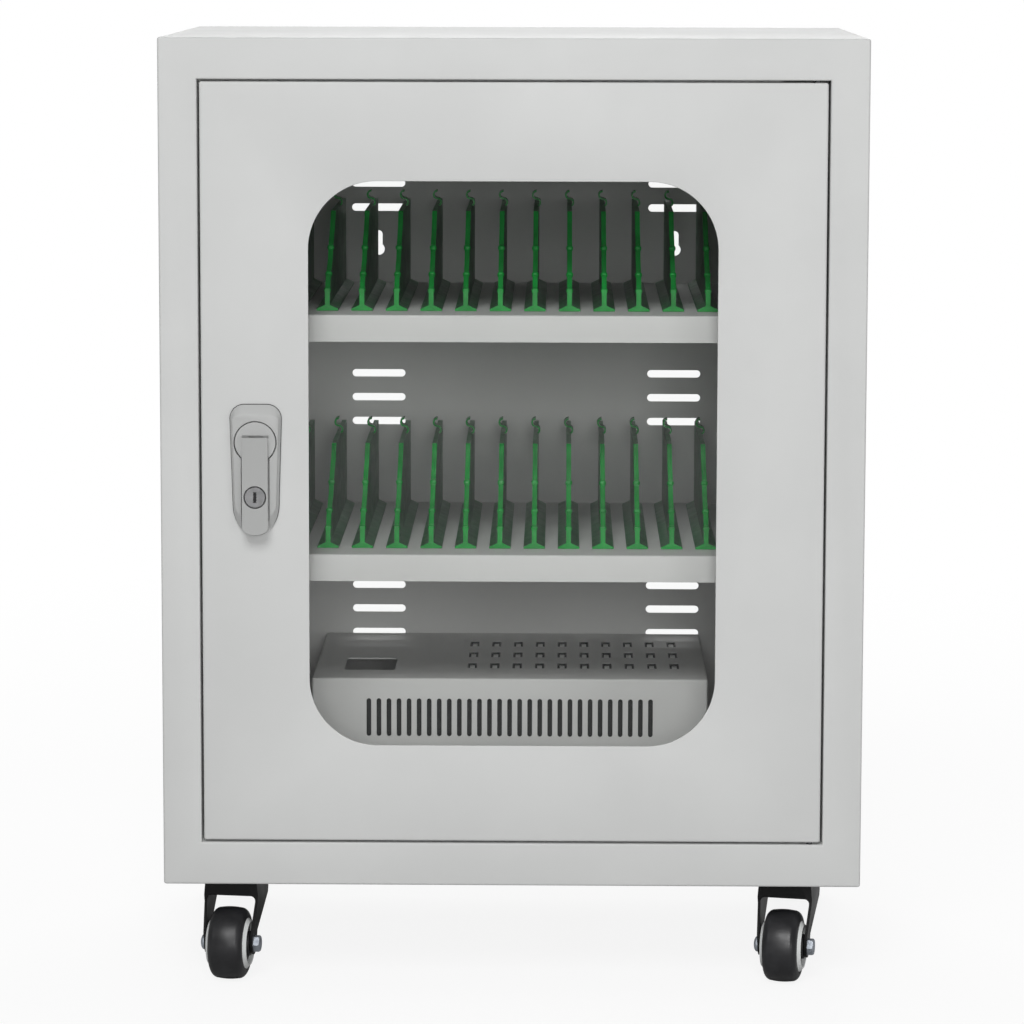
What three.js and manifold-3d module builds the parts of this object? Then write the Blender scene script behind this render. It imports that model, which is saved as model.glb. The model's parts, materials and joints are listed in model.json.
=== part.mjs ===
// Phone charging cabinet: a folded sheet-steel carcass on four swivel casters, a flush glazed door with a
// swing-handle lock, two shelves of upright phone dividers, and a power box with a grid of sockets.
// Millimetres, +Z up, the front faces -Y and the floor is at z = 0.
import * as THREE from 'three';
import { RoundedBoxGeometry } from 'three/addons/geometries/RoundedBoxGeometry.js';
import { mergeVertices } from 'three/addons/utils/BufferGeometryUtils.js';
import Module from 'manifold-3d';

const wasm = await Module();
wasm.setup();

// Carcass
const cabinet_width = 600;
const cabinet_depth = 400;
const body_height = 727;
const caster_height = 91;
const sheet = 1.2;
const bend = 2;
const seat_gap = 0.3;
const overrun = 2;
const frame_side = 33;
const frame_top = 35;
const frame_sill = 37;
const base_flange = 20;
const rear_flange = 15;

// Door
const door_gap = 2;
const door_depth = 20;
const door_lip = 10;
const stop_gap = 0.6;
const stop_lip = 8;
const stop_short = 40;
const window_inset = 91.5;
const window_end_inset = 83.5;
const window_radius = 58;
const window_pieces = 8;
const glass_thickness = 3;
const glass_overlap = 12;
const glass_corner = 12;
const retainer_cover = 6;
const pin_radius = 2.5;
const pin_clearance = 0.3;
const pin_inset = 9;
const pin_setback = 5;
const pin_inside = 14;
const pin_outside = 3;
const pin_collar_height = 3;

// Shelves, with their heights as shares of the body's
const shelf_shares = { upper: 0.6726, lower: 0.3865 };
const shelf_front = 47;
const shelf_rear_gap = 14;
const shelf_lip = 23.3;

// Dividers, with heights above the shelf and depths behind the divider's own front
const divider_count = 14;
const divider_pitch = 30;
const divider_shift = 3;
const divider_setback = 36;
const divider_rear_gap = 23.3;
const divider_height = 80;
const foot_width = 18.6;
const foot_edge = 1.6;
const foot_rise = 5;
const web_thickness = 4.2;
const nose_height = 19;
const nose_depth = 5;
const slope_run = 96;
const slope_shares = [[0.1, 0.14], [0.2, 0.2], [0.45, 0.36], [0.55, 0.54], [0.85, 0.78]];
const clip_steps = [1, 3];
const clip_radius = 3;
const clip_width = 6.4;
const clip_sides = 3;
const hook_radius = 4.2;
const hook_band = 1.6;
const hook_length = 14;
const hook_setback = 83;
const hook_pieces = 2;

// Back panel, with its vents and keyholes placed by shares of the space above each shelf and the power box
const back_flange = 12;
const vent_width = 50;
const vent_height = 7;
const vent_row_pitch = 22.7;
const vent_rows = 3;
const vent_columns = [-139.2, 139.2];
const vent_shift = 8;
const vent_shares = { upper: 0.3866, lower: 0.4712, box: 0.1852 };
const vent_pieces = 3;
const keyhole_radius = 5.6;
const keyhole_slot = 3.6;
const keyhole_rise = 14;
const keyhole_share = 0.1261;
const keyhole_pieces = 5;

// Power box
const box_width = 354;
const box_shift = -4;
const box_depth = 241.5;
const box_height = 153;
const box_foot = 12;
const grille_count = 29;
const grille_pitch = 9;
const grille_slot_width = 3.7;
const grille_slot_height = 34.5;
const grille_middle = 117.6;
const grille_pieces = 2;
const port_columns = 10;
const port_pitch = 20.4;
const port_inset = 28.2;
const port_rows = 3;
const port_row_pitch = 57.5;
const port_rear = 59.5;
const port_hole = { width: 8.6, depth: 20 };
const cutout = { inset: 26.6, front: 42.5, width: 46, depth: 62.5, corner: 4 };

// Socket board, with its sockets standing up under the holes
const board_thickness = 1.6;
const board_margin = 14;
const socket = { width: 6.6, depth: 14.5, height: 14, wall: 0.7 };
const socket_cover_gap = 1;
const spacer_radius = 3;
const spacer_sides = 4;

// Power supply
const supply = { inset: 11.5, front: 46, width: 199, depth: 98, height: 42 };
const supply_terminal = { depth: 16, drop: 20, count: 4, wall: 1.5 };

// Mains inlet
const inlet = { inset: 61, height: 60, width: 27, tall: 20, depth: 22, cavity_wall: 1.8, cavity_depth: 17 };
const inlet_flange = { width: 50, tall: 28, thickness: 2.5, corner: 5 };
const inlet_pin = { width: 2, tall: 4, length: 14, spread: 7, rise: 2 };

// Casters, with each one's turn about its swivel
const caster_inset = 58;
const turn_degrees = { front_left: -8, front_right: -12.5, rear_left: -130, rear_right: 130 };
const wheel_radius = 31.5;
const caster_trail = 25;
const swivel_gap = 0.5;
const race_radius = 21;
const race_height = 4;
const race_segments = 14;
const stud_radius = 6;
const stud_clearance = 0.8;
const stud_head_radius = 11;
const stud_head_height = 4;
const stud_segments = 8;
const fork_width = 43;
const fork_top_width = 48;
const fork_plate = 2.6;
const fork_top_depth = 44;
const fork_skirt = 15.5;
const fork_corner = 4;
const fork_shoulder = 21.5;
const fork_neck_drop = 51;
const fork_end_radius = 9.5;
const fork_pieces = 6;
const axle_radius = 4;
const axle_segments = 10;
const nut_sides = 6;
const nut_across_flats = 13;
const nut_thickness = 6.5;
const bolt_head_thickness = 5.5;
const tread_width = 30.5;
const tyre_inner_radius = 22.4;
const tyre_crown = 1.2;
const tyre_shoulder = 4;
const rim_proud = 2.8;
const rim_cone = 2.5;
const rim_wall = 4;
const hub_web = 9;
const boss_radius = 9;
const boss_gap = 0.5;
const hub_clearance = 0.3;
const wheel_segments = 18;

// Swing-handle lock, drawn about the disc's centre on the door's face
const lock_edge = 46.5;
const lock_height = 385;
const housing = {
  proud: 9, top_half: 21.7, low_half: 19.4, shoulder: 19.6, corner: 12, tail: 54, tail_arch: 27,
};
const housing_round = 3;
const housing_pieces = 6;
const housing_round_steps = 2;
const housing_channel = { width: 15, from: 62, to: 26, depth: 4 };
const disc_radius = 17.4;
const disc_gap = 0.45;
const disc_segments = 20;
const spindle_radius = 6;
const spindle_clearance = 0.5;
const spindle_segments = 12;
const spindle_square = 7;
const lever_width = 22;
const lever_length = 83;
const lever_top = 4.6;
const lever_thickness = 6;
const lever_gap = 0.4;
const lever_end_rise = 6;
const lift_degrees = 30;
const pivot_below_top = 5.5;
const pivot_proud = 5.2;
const lug_radius = 2.6;
const lug_width = 11.4;
const lug_gap = 0.3;
const lug_pieces = 4;
const lever_pin_radius = 1.2;
const lever_pin_length = 26;
const lever_pin_segments = 8;
const cylinder_drop = 46.2;
const cylinder_radius = 9;
const cylinder_gap = 0.35;
const cylinder_segments = 20;
const key_slot = { width: 2.4, height: 8, depth: 4 };
const cam = { thickness: 3, half_height: 9, gap: 1, strike_clearance: 1.4, nut_radius: 8, nut_height: 5 };

// Small tolerance for welding the corners of a mesh
const weld = 0.001;

// Places worked out from the driving sizes
const half_width = cabinet_width / 2;
const body_bottom = caster_height;
const body_top = body_bottom + body_height;
const inside_half = half_width - sheet - seat_gap;
const opening = {
  left: -half_width + frame_side,
  right: half_width - frame_side,
  bottom: body_bottom + frame_sill,
  top: body_top - frame_top,
};
const door = {
  left: opening.left + door_gap,
  right: opening.right - door_gap,
  bottom: opening.bottom + door_gap,
  top: opening.top - door_gap,
};
const return_depth = door_depth + stop_gap + sheet;
const view = {
  left: door.left + window_inset,
  right: door.right - window_inset,
  bottom: door.bottom + window_end_inset,
  top: door.top - window_end_inset,
};
const hinge = { x: door.right - pin_inset, y: pin_setback };
const floor_underside = body_bottom + sheet + seat_gap;
const floor_top = floor_underside + sheet;
const back = { front: cabinet_depth - sheet - seat_gap - sheet, rear: cabinet_depth - sheet - seat_gap };
const shelf_rear = back.front - shelf_rear_gap;
const shelf_heights = { upper: shelf_shares.upper * body_height, lower: shelf_shares.lower * body_height };
const divider_front = shelf_front + divider_setback;
const divider_length = shelf_rear - divider_rear_gap - divider_front;
const box_left = box_shift - box_width / 2;
const box_right = box_shift + box_width / 2;
const box_top = body_bottom + box_height;
const floor_rear = back.front - seat_gap;
const box_rear = floor_rear - sheet - seat_gap;
const box_front = box_rear - box_depth;
const spaces = {
  upper: { low: shelf_heights.upper, high: body_height },
  lower: { low: shelf_heights.lower, high: shelf_heights.upper },
  box: { low: box_height, high: shelf_heights.lower },
};
const inlet_x = box_left + inlet.inset;
const lever = {
  back: housing.proud + lever_gap,
  front: housing.proud + lever_gap + lever_thickness,
  bottom: lever_top - lever_length,
};
const rear_proud = back.rear + seat_gap + inlet_flange.thickness - cabinet_depth;
const middle_y = (cabinet_depth + rear_proud - lever.front) / 2;

function paint(color, roughness, metalness = 0) {
  return new THREE.MeshStandardMaterial({ color, roughness, metalness });
}

const materials = {
  steel: paint(0xcecfce, 0.5, 0.1),
  panel: paint(0xc2c4c2, 0.55, 0.1),
  glass: new THREE.MeshStandardMaterial({
    color: 0x9fb0a8, roughness: 0.05, metalness: 0, transparent: true, opacity: 0.3,
  }),
  pin: paint(0xb9bcc0, 0.35, 0.9),
  green: paint(0x1f9a3c, 0.3),
  board: paint(0x24452f, 0.6),
  supply: paint(0xa9adb0, 0.4, 0.8),
  inlet: paint(0x1c1c1e, 0.5),
  lock: paint(0xbfc0bf, 0.45, 0.2),
  cylinder: paint(0x9a9b9c, 0.35, 0.8),
  cam: paint(0xaeb2b6, 0.4, 0.9),
  fork: paint(0x2b2b2d, 0.5, 0.3),
  tyre: paint(0x242426, 0.75),
  hub: paint(0xb9bbba, 0.5),
};

// Solids from three.js geometry
function solid(geometry) {
  const bare = geometry.clone();
  bare.deleteAttribute('normal');
  bare.deleteAttribute('uv');
  const merged = mergeVertices(bare, weld);
  const triVerts = Uint32Array.from(merged.index.array);
  const vertProperties = merged.attributes.position.array;
  return new wasm.Manifold(new wasm.Mesh({ numProp: 3, vertProperties, triVerts }));
}

function join(first, ...others) {
  return others.reduce((whole, other) => whole.add(other), first);
}

function cut(first, ...others) {
  return others.reduce((whole, other) => whole.subtract(other), first);
}

function block(x0, x1, y0, y1, z0, z1) {
  const box = new THREE.BoxGeometry(x1 - x0, y1 - y0, z1 - z0);
  return solid(box.translate((x0 + x1) / 2, (y0 + y1) / 2, (z0 + z1) / 2));
}

function foldedBlock(x0, x1, y0, y1, z0, z1, radius) {
  const box = new RoundedBoxGeometry(x1 - x0, y1 - y0, z1 - z0, 1, radius);
  return solid(box.translate((x0 + x1) / 2, (y0 + y1) / 2, (z0 + z1) / 2));
}

// A folded sheet round a box: its outside minus its inside, one sheet thick all round
function foldedShell(x0, x1, y0, y1, z0, z1) {
  const outside = foldedBlock(x0, x1, y0, y1, z0, z1, bend);
  return outside.subtract(foldedBlock(
    x0 + sheet, x1 - sheet, y0 + sheet, y1 - sheet, z0 + sheet, z1 - sheet, bend - sheet,
  ));
}

// An upright prism on a shape, with so many straight pieces to each of the shape's arcs
function prism(shape, length, pieces) {
  return new THREE.ExtrudeGeometry(shape, { depth: length, bevelEnabled: false, curveSegments: pieces / 2 });
}

// A shape drawn in x and z, made solid from y0 back to y1
function frontal(shape, y0, y1, pieces = 2) {
  return solid(prism(shape, y1 - y0, pieces).rotateX(Math.PI / 2).translate(0, y1, 0));
}

// A shape drawn in x and y, made solid from z0 up to z1
function level(shape, z0, z1, pieces = 2) {
  return solid(prism(shape, z1 - z0, pieces).translate(0, 0, z0));
}

// A shape drawn in y and z, made solid from x0 across to x1
function lateral(shape, x0, x1, pieces = 2) {
  const turn = new THREE.Matrix4().set(0, 0, 1, x0, 1, 0, 0, 0, 0, 1, 0, 0, 0, 0, 0, 1);
  return solid(prism(shape, x1 - x0, pieces).applyMatrix4(turn));
}

function outline(points) {
  return new THREE.Shape(points.map(([u, v]) => new THREE.Vector2(u, v)));
}

function roundedRectangle(u0, u1, v0, v1, radius) {
  const shape = new THREE.Shape();
  shape.absarc(u1 - radius, v1 - radius, radius, 0, Math.PI / 2);
  shape.absarc(u0 + radius, v1 - radius, radius, Math.PI / 2, Math.PI);
  shape.absarc(u0 + radius, v0 + radius, radius, Math.PI, Math.PI * 1.5);
  shape.absarc(u1 - radius, v0 + radius, radius, Math.PI * 1.5, Math.PI * 2);
  return shape;
}

function levelSlot(u, v, length, width) {
  const reach = (length - width) / 2;
  const shape = new THREE.Shape();
  shape.absarc(u + reach, v, width / 2, -Math.PI / 2, Math.PI / 2);
  shape.absarc(u - reach, v, width / 2, Math.PI / 2, Math.PI * 1.5);
  return shape;
}

function uprightSlot(u, v, length, width) {
  const reach = (length - width) / 2;
  const shape = new THREE.Shape();
  shape.absarc(u, v + reach, width / 2, 0, Math.PI);
  shape.absarc(u, v - reach, width / 2, Math.PI, Math.PI * 2);
  return shape;
}

function uprightRod(x, y, z0, z1, radius, segments) {
  const rod = new THREE.CylinderGeometry(radius, radius, z1 - z0, segments);
  return solid(rod.rotateX(Math.PI / 2).translate(x, y, (z0 + z1) / 2));
}

function frontalRod(x, z, y0, y1, radius, segments) {
  const rod = new THREE.CylinderGeometry(radius, radius, y1 - y0, segments);
  return solid(rod.translate(x, (y0 + y1) / 2, z));
}

function lateralRod(y, z, x0, x1, radius, segments) {
  const rod = new THREE.CylinderGeometry(radius, radius, x1 - x0, segments);
  return solid(rod.rotateZ(Math.PI / 2).translate((x0 + x1) / 2, y, z));
}

function piece(name, body, material) {
  const { vertProperties, triVerts } = body.getMesh();
  const geometry = new THREE.BufferGeometry();
  geometry.setAttribute('position', new THREE.BufferAttribute(vertProperties, 3));
  geometry.setIndex(new THREE.BufferAttribute(triVerts, 1));
  geometry.computeVertexNormals();
  const mesh = new THREE.Mesh(geometry, material);
  mesh.name = name;
  return mesh;
}

// Carcass: sides, top, front frame with its return and the flanges that the floor and back sit on
function carcass() {
  const shell = foldedShell(-half_width, half_width, 0, cabinet_depth, body_bottom, body_top);
  const front_cut = block(
    opening.left, opening.right, -overrun, sheet + overrun, opening.bottom, opening.top,
  );
  const rear_cut = block(
    -half_width + rear_flange, half_width - rear_flange,
    cabinet_depth - sheet - overrun, cabinet_depth + overrun,
    body_bottom + rear_flange, body_top - rear_flange,
  );
  const base_cut = block(
    -half_width + base_flange, half_width - base_flange,
    base_flange, cabinet_depth - base_flange,
    body_bottom - overrun, body_bottom + sheet + overrun,
  );
  const frame_return = block(
    opening.left - sheet, opening.right + sheet, sheet / 2, return_depth,
    opening.bottom - sheet, opening.top + sheet,
  ).subtract(block(
    opening.left, opening.right, 0, return_depth + overrun, opening.bottom, opening.top,
  ));
  const stop_right = opening.right - stop_short;
  const stop_y = return_depth - sheet;
  const top_stop = block(
    opening.left - sheet, stop_right, stop_y, return_depth, opening.top - stop_lip, opening.top + sheet,
  );
  const low_stop = block(
    opening.left - sheet, stop_right, stop_y, return_depth, opening.bottom - sheet, opening.bottom + stop_lip,
  );
  const pin_hole = (z0, z1) => uprightRod(
    hinge.x, hinge.y, z0 - overrun, z1 + overrun, pin_radius + pin_clearance, axle_segments,
  );
  const body = join(cut(shell, front_cut, rear_cut, base_cut), frame_return, top_stop, low_stop);
  return cut(
    body,
    pin_hole(opening.top, opening.top + sheet),
    pin_hole(opening.bottom - sheet, opening.bottom),
  );
}

// Floor: a shallow tray in the carcass, with each caster's swivel race and headed stud under it
function floorPanel() {
  const tray = foldedShell(
    -inside_half, inside_half, sheet + seat_gap, floor_rear, floor_underside, floor_underside + box_foot * 2,
  ).subtract(block(
    -half_width, half_width, 0, cabinet_depth, floor_underside + box_foot, floor_underside + box_foot * 3,
  ));
  const race_bottom = floor_underside - race_height;
  const head_top = race_bottom - swivel_gap - fork_plate - stud_clearance;
  const studs = casterPlaces().map(({ x, y }) => join(
    uprightRod(x, y, race_bottom, floor_underside + sheet / 2, race_radius, race_segments),
    uprightRod(x, y, head_top - stud_head_height, race_bottom + sheet, stud_radius, stud_segments),
    uprightRod(x, y, head_top - stud_head_height, head_top, stud_head_radius, stud_segments),
  ));
  return join(tray, ...studs);
}

// A height in one of the spaces that the shelves and the power box leave
function heightIn(space, share) {
  return body_bottom + space.low + share * (space.high - space.low);
}

// Back panel: vent slots in threes, a keyhole in each column to hang the cabinet by, and the inlet's hole
function backPanel() {
  const bottom = body_bottom + sheet + seat_gap;
  const top = body_top - sheet - seat_gap;
  const half = inlet.width / 2 + seat_gap;
  const half_tall = inlet.tall / 2 + seat_gap;
  const inlet_z = body_bottom + inlet.height;
  const flange = (x0, x1, z0, z1) => block(x0, x1, back.rear - back_flange, back.rear, z0, z1);
  const punched = (shape, pieces) => frontal(shape, back.front - overrun, back.rear + overrun, pieces);
  const slots = vent_columns.flatMap((column) => Object.keys(vent_shares).flatMap((name) => (
    Array.from({ length: vent_rows }, (_, row) => {
      const rise = (row - (vent_rows - 1) / 2) * vent_row_pitch;
      const z = heightIn(spaces[name], vent_shares[name]) + rise;
      return punched(levelSlot(column + vent_shift, z, vent_width, vent_height), vent_pieces);
    })
  )));
  const keyholes = vent_columns.map((column) => (
    punched(keyhole(column + vent_shift, heightIn(spaces.upper, keyhole_share)), keyhole_pieces)
  ));
  return cut(
    join(
      block(-inside_half, inside_half, back.front, back.rear, bottom, top),
      flange(-inside_half, -inside_half + sheet, bottom + box_foot * 2, top),
      flange(inside_half - sheet, inside_half, bottom + box_foot * 2, top),
      flange(-inside_half, inside_half, top - sheet, top),
    ),
    ...slots, ...keyholes,
    block(
      inlet_x - half, inlet_x + half, back.front - overrun, back.rear + overrun,
      inlet_z - half_tall, inlet_z + half_tall,
    ),
  );
}

function keyhole(x, z) {
  const half_angle = Math.acos(keyhole_slot / keyhole_radius);
  const shape = new THREE.Shape();
  shape.absarc(x, z, keyhole_radius, Math.PI - half_angle, Math.PI * 2 + half_angle);
  shape.absarc(x, z + keyhole_rise, keyhole_slot, 0, Math.PI);
  return shape;
}

// Shelf: a tray turned upside down, so that its lips hang at the front, sides and rear
function shelf(height) {
  const top = body_bottom + height;
  return foldedShell(-inside_half, inside_half, shelf_front, shelf_rear, top - shelf_lip * 2, top).subtract(
    block(-half_width, half_width, 0, cabinet_depth, top - shelf_lip * 3, top - shelf_lip),
  );
}

// Divider: a wedge-topped foot, a thin upright web with a stepped slope at its front, cable clips down the
// slope, and an S-shaped cable hook on its rear top edge
function divider() {
  const half = foot_width / 2;
  const web = web_thickness / 2;
  const foot_shape = outline([
    [-half, 0], [half, 0], [half, foot_edge], [web, foot_rise], [-web, foot_rise], [-half, foot_edge],
  ]);
  const slope_rise = divider_height - nose_height;
  const slope = slope_shares.map(([run_share, rise_share]) => [
    nose_depth + run_share * slope_run, nose_height + rise_share * slope_rise,
  ]);
  const web_shape = outline([
    [0, 0], [divider_length, 0], [divider_length, divider_height],
    [nose_depth + slope_run, divider_height], ...[...slope].reverse(), [0, nose_height],
  ]);
  const clips = clip_steps.map((step) => {
    const [y, z] = slope[step];
    return lateralRod(y, z - clip_radius / 2, -clip_width / 2, clip_width / 2, clip_radius, clip_sides);
  });
  return join(
    frontal(foot_shape, 0, divider_length),
    lateral(web_shape, -web, web),
    ...clips,
    cableHook(),
  );
}

function cableHook() {
  const quarter = Math.PI / 2;
  const inner = hook_radius - hook_band;
  const low = divider_height + inner;
  const high = low + hook_radius + inner;
  const band = new THREE.Shape();
  band.absarc(0, low, hook_radius, -quarter, quarter);
  band.absarc(0, high, inner, quarter * 3, quarter, true);
  band.absarc(0, high, hook_radius, quarter, quarter * 3);
  band.absarc(0, low, inner, quarter, -quarter, true);
  const rear = divider_length - hook_setback;
  return frontal(band, rear - hook_length, rear, hook_pieces);
}

// Power box: a folded cover over the supply, open below and behind, with feet along its sides
function powerBoxCover() {
  const bottom = floor_top + seat_gap;
  const cover = foldedShell(
    box_left, box_right, box_front, box_rear + overrun * 2, bottom - overrun * 2, box_top,
  );
  const below = block(-half_width, half_width, 0, cabinet_depth + overrun, body_bottom - overrun * 2, bottom);
  const behind = block(-half_width, half_width, box_rear, cabinet_depth + overrun, body_bottom, body_top);
  const foot = (x0, x1) => block(x0, x1, box_front + bend, box_rear, bottom, bottom + sheet);
  const slots = Array.from({ length: grille_count }, (_, index) => {
    const x = box_shift + (index - (grille_count - 1) / 2) * grille_pitch;
    const shape = uprightSlot(x, body_bottom + grille_middle, grille_slot_height, grille_slot_width);
    return frontal(shape, box_front - overrun, box_front + sheet + overrun, grille_pieces);
  });
  const holes = portPlaces().map(({ x, y }) => block(
    x - port_hole.width / 2, x + port_hole.width / 2, y - port_hole.depth / 2, y + port_hole.depth / 2,
    box_top - sheet - overrun, box_top + overrun,
  ));
  const way_out = roundedRectangle(
    box_left + cutout.inset, box_left + cutout.inset + cutout.width,
    box_front + cutout.front, box_front + cutout.front + cutout.depth, cutout.corner,
  );
  return cut(
    join(
      cut(cover, below, behind),
      foot(box_left - box_foot, box_left + sheet),
      foot(box_right - sheet, box_right + box_foot),
    ),
    ...slots, ...holes,
    level(way_out, box_top - sheet - overrun, box_top + overrun, vent_pieces),
  );
}

function portPlaces() {
  return Array.from({ length: port_columns * port_rows }, (_, index) => ({
    x: box_right - port_inset - (index % port_columns) * port_pitch,
    y: box_rear - port_rear - Math.floor(index / port_columns) * port_row_pitch,
  }));
}

// Socket board: every socket stands on one board, which hangs from the cover's top on four spacers
function socketBoard() {
  const top = box_top - sheet - socket_cover_gap;
  const board_top = top - socket.height;
  const places = portPlaces();
  const x0 = places[places.length - 1].x - board_margin;
  const x1 = places[0].x + board_margin;
  const y0 = places[places.length - 1].y - board_margin;
  const y1 = places[0].y + board_margin;
  const sockets = places.map(({ x, y }) => {
    const half_x = socket.width / 2;
    const half_y = socket.depth / 2;
    const shell = block(x - half_x, x + half_x, y - half_y, y + half_y, board_top - board_thickness / 2, top);
    return shell.subtract(block(
      x - half_x + socket.wall, x + half_x - socket.wall, y - half_y + socket.wall, y + half_y - socket.wall,
      board_top + socket.wall, top + overrun,
    ));
  });
  const inset = spacer_radius * 2;
  const spacers = [x0 + inset, x1 - inset].flatMap((x) => [y0 + inset, y1 - inset].map((y) => uprightRod(
    x, y, board_top - board_thickness / 2, box_top - sheet - seat_gap, spacer_radius, spacer_sides,
  )));
  return join(block(x0, x1, y0, y1, board_top - board_thickness, board_top), ...sockets, ...spacers);
}

// Power supply: a cased block on the floor with a stepped terminal strip along one end
function powerSupply() {
  const bottom = floor_top + seat_gap;
  const x0 = box_left + supply.inset;
  const x1 = x0 + supply.width;
  const y0 = box_front + supply.front;
  const y1 = y0 + supply.depth;
  const body = foldedBlock(x0, x1, y0, y1, bottom, bottom + supply.height, bend);
  const step = block(
    x1 - supply_terminal.depth, x1 + overrun, y0 - overrun, y1 + overrun,
    bottom + supply.height - supply_terminal.drop, bottom + supply.height + overrun,
  );
  const bay = (supply.depth - supply_terminal.wall) / supply_terminal.count;
  const walls = Array.from({ length: supply_terminal.count + 1 }, (_, index) => {
    const y = y0 + index * bay;
    const top = bottom + supply.height - supply_terminal.drop / 2;
    return block(x1 - supply_terminal.depth, x1, y, y + supply_terminal.wall, bottom + bend, top);
  });
  return join(body.subtract(step), ...walls);
}

// Mains inlet: a flanged socket through the back panel, with three blades in its cavity
function mainsInlet() {
  const z = body_bottom + inlet.height;
  const face = back.rear + seat_gap + inlet_flange.thickness;
  const flange = frontal(roundedRectangle(
    inlet_x - inlet_flange.width / 2, inlet_x + inlet_flange.width / 2,
    z - inlet_flange.tall / 2, z + inlet_flange.tall / 2, inlet_flange.corner,
  ), back.rear + seat_gap, face, vent_pieces);
  const box_at = (inset, y0, y1) => block(
    inlet_x - inlet.width / 2 + inset, inlet_x + inlet.width / 2 - inset, y0, y1,
    z - inlet.tall / 2 + inset, z + inlet.tall / 2 - inset,
  );
  const blade = (x, rise) => block(
    inlet_x + x - inlet_pin.width / 2, inlet_x + x + inlet_pin.width / 2,
    face - inlet.cavity_depth - sheet, face - inlet.cavity_depth + inlet_pin.length,
    z + rise - inlet_pin.tall / 2, z + rise + inlet_pin.tall / 2,
  );
  return join(
    cut(
      join(flange, box_at(0, back.front - inlet.depth, face)),
      box_at(inlet.cavity_wall, face - inlet.cavity_depth, face + overrun),
    ),
    blade(-inlet_pin.spread, -inlet_pin.rise),
    blade(0, inlet_pin.rise),
    blade(inlet_pin.spread, -inlet_pin.rise),
  );
}

// Door: a folded pan with return lips behind, a rounded window and the spindle's hole
function doorPanel() {
  const pan = foldedShell(door.left, door.right, 0, door_depth, door.bottom, door.top);
  const rear_cut = block(
    door.left + door_lip, door.right - door_lip, door_depth - sheet - overrun, door_depth + overrun,
    door.bottom + door_lip, door.top - door_lip,
  );
  const window_shape = roundedRectangle(view.left, view.right, view.bottom, view.top, window_radius);
  return cut(
    pan, rear_cut,
    frontal(window_shape, -overrun, sheet + overrun, window_pieces),
    frontalRod(
      lockPlace().x, lockPlace().z, -overrun, sheet + overrun,
      spindle_radius + spindle_clearance, spindle_segments,
    ),
    uprightRod(
      hinge.x, hinge.y, door.bottom - overrun, door.top + overrun, pin_radius + pin_clearance, axle_segments,
    ),
  );
}

function windowGlass() {
  const shape = roundedRectangle(
    view.left - glass_overlap, view.right + glass_overlap,
    view.bottom - glass_overlap, view.top + glass_overlap, glass_corner,
  );
  const front = sheet + seat_gap;
  return frontal(shape, front, front + glass_thickness, vent_pieces);
}

// Glass retainer: a frame that boxes in the glass against the back of the door's face
function glassRetainer() {
  const about = (margin, y0, y1) => block(
    view.left - margin, view.right + margin, y0, y1, view.bottom - margin, view.top + margin,
  );
  const inner = glass_overlap + seat_gap;
  const front = sheet + seat_gap;
  const seat = front + glass_thickness + seat_gap;
  return cut(
    about(inner + sheet, front, seat + sheet),
    about(inner, front - overrun, seat),
    about(inner - retainer_cover, seat - overrun, seat + sheet + overrun),
  );
}

// Hinge pin: it turns in the frame's return, with a collar that seats under the door's own edge
function hingePin(edge, side) {
  const collar_radius = hinge.y - sheet - seat_gap;
  const seat = edge - side * (sheet + seat_gap);
  const span = (from, to, radius) => uprightRod(
    hinge.x, hinge.y, Math.min(from, to), Math.max(from, to), radius, axle_segments,
  );
  return join(
    span(edge - side * pin_inside, edge + side * (door_gap + sheet + pin_outside), pin_radius),
    span(seat, seat - side * pin_collar_height, collar_radius),
  );
}

function lockPlace() {
  return { x: door.left + lock_edge, z: body_bottom + lock_height };
}

// Lock housing: a domed-edge casting with a tapered outline, bored for the disc
function lockHousing() {
  const shape = new THREE.Shape();
  const inset = housing_round;
  shape.absellipse(
    0, -housing.tail, housing.low_half - inset, housing.tail_arch - inset, Math.PI, Math.PI * 2,
  );
  for (const [side, start] of [[1, 0], [-1, Math.PI / 2]]) {
    const x = side * (housing.top_half - housing.corner);
    shape.absarc(x, housing.shoulder, housing.corner - inset, start, start + Math.PI / 2);
  }
  const casting = new THREE.ExtrudeGeometry(shape, {
    depth: housing.proud - housing_round,
    bevelEnabled: true,
    bevelThickness: housing_round,
    bevelSize: housing_round,
    bevelSegments: housing_round_steps,
    curveSegments: housing_pieces / 2,
  });
  const body = solid(casting.rotateX(Math.PI / 2));
  const reach = housing.tail + housing.tail_arch + overrun;
  return cut(
    body,
    block(-reach, reach, -seat_gap, housing.proud, -reach, reach),
    frontalRod(0, 0, -housing.proud - overrun, overrun, disc_radius + disc_gap, disc_segments),
    block(
      -housing_channel.width / 2, housing_channel.width / 2,
      -housing.proud - overrun, -housing.proud + housing_channel.depth,
      -housing_channel.from, -housing_channel.to,
    ),
  );
}

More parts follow.
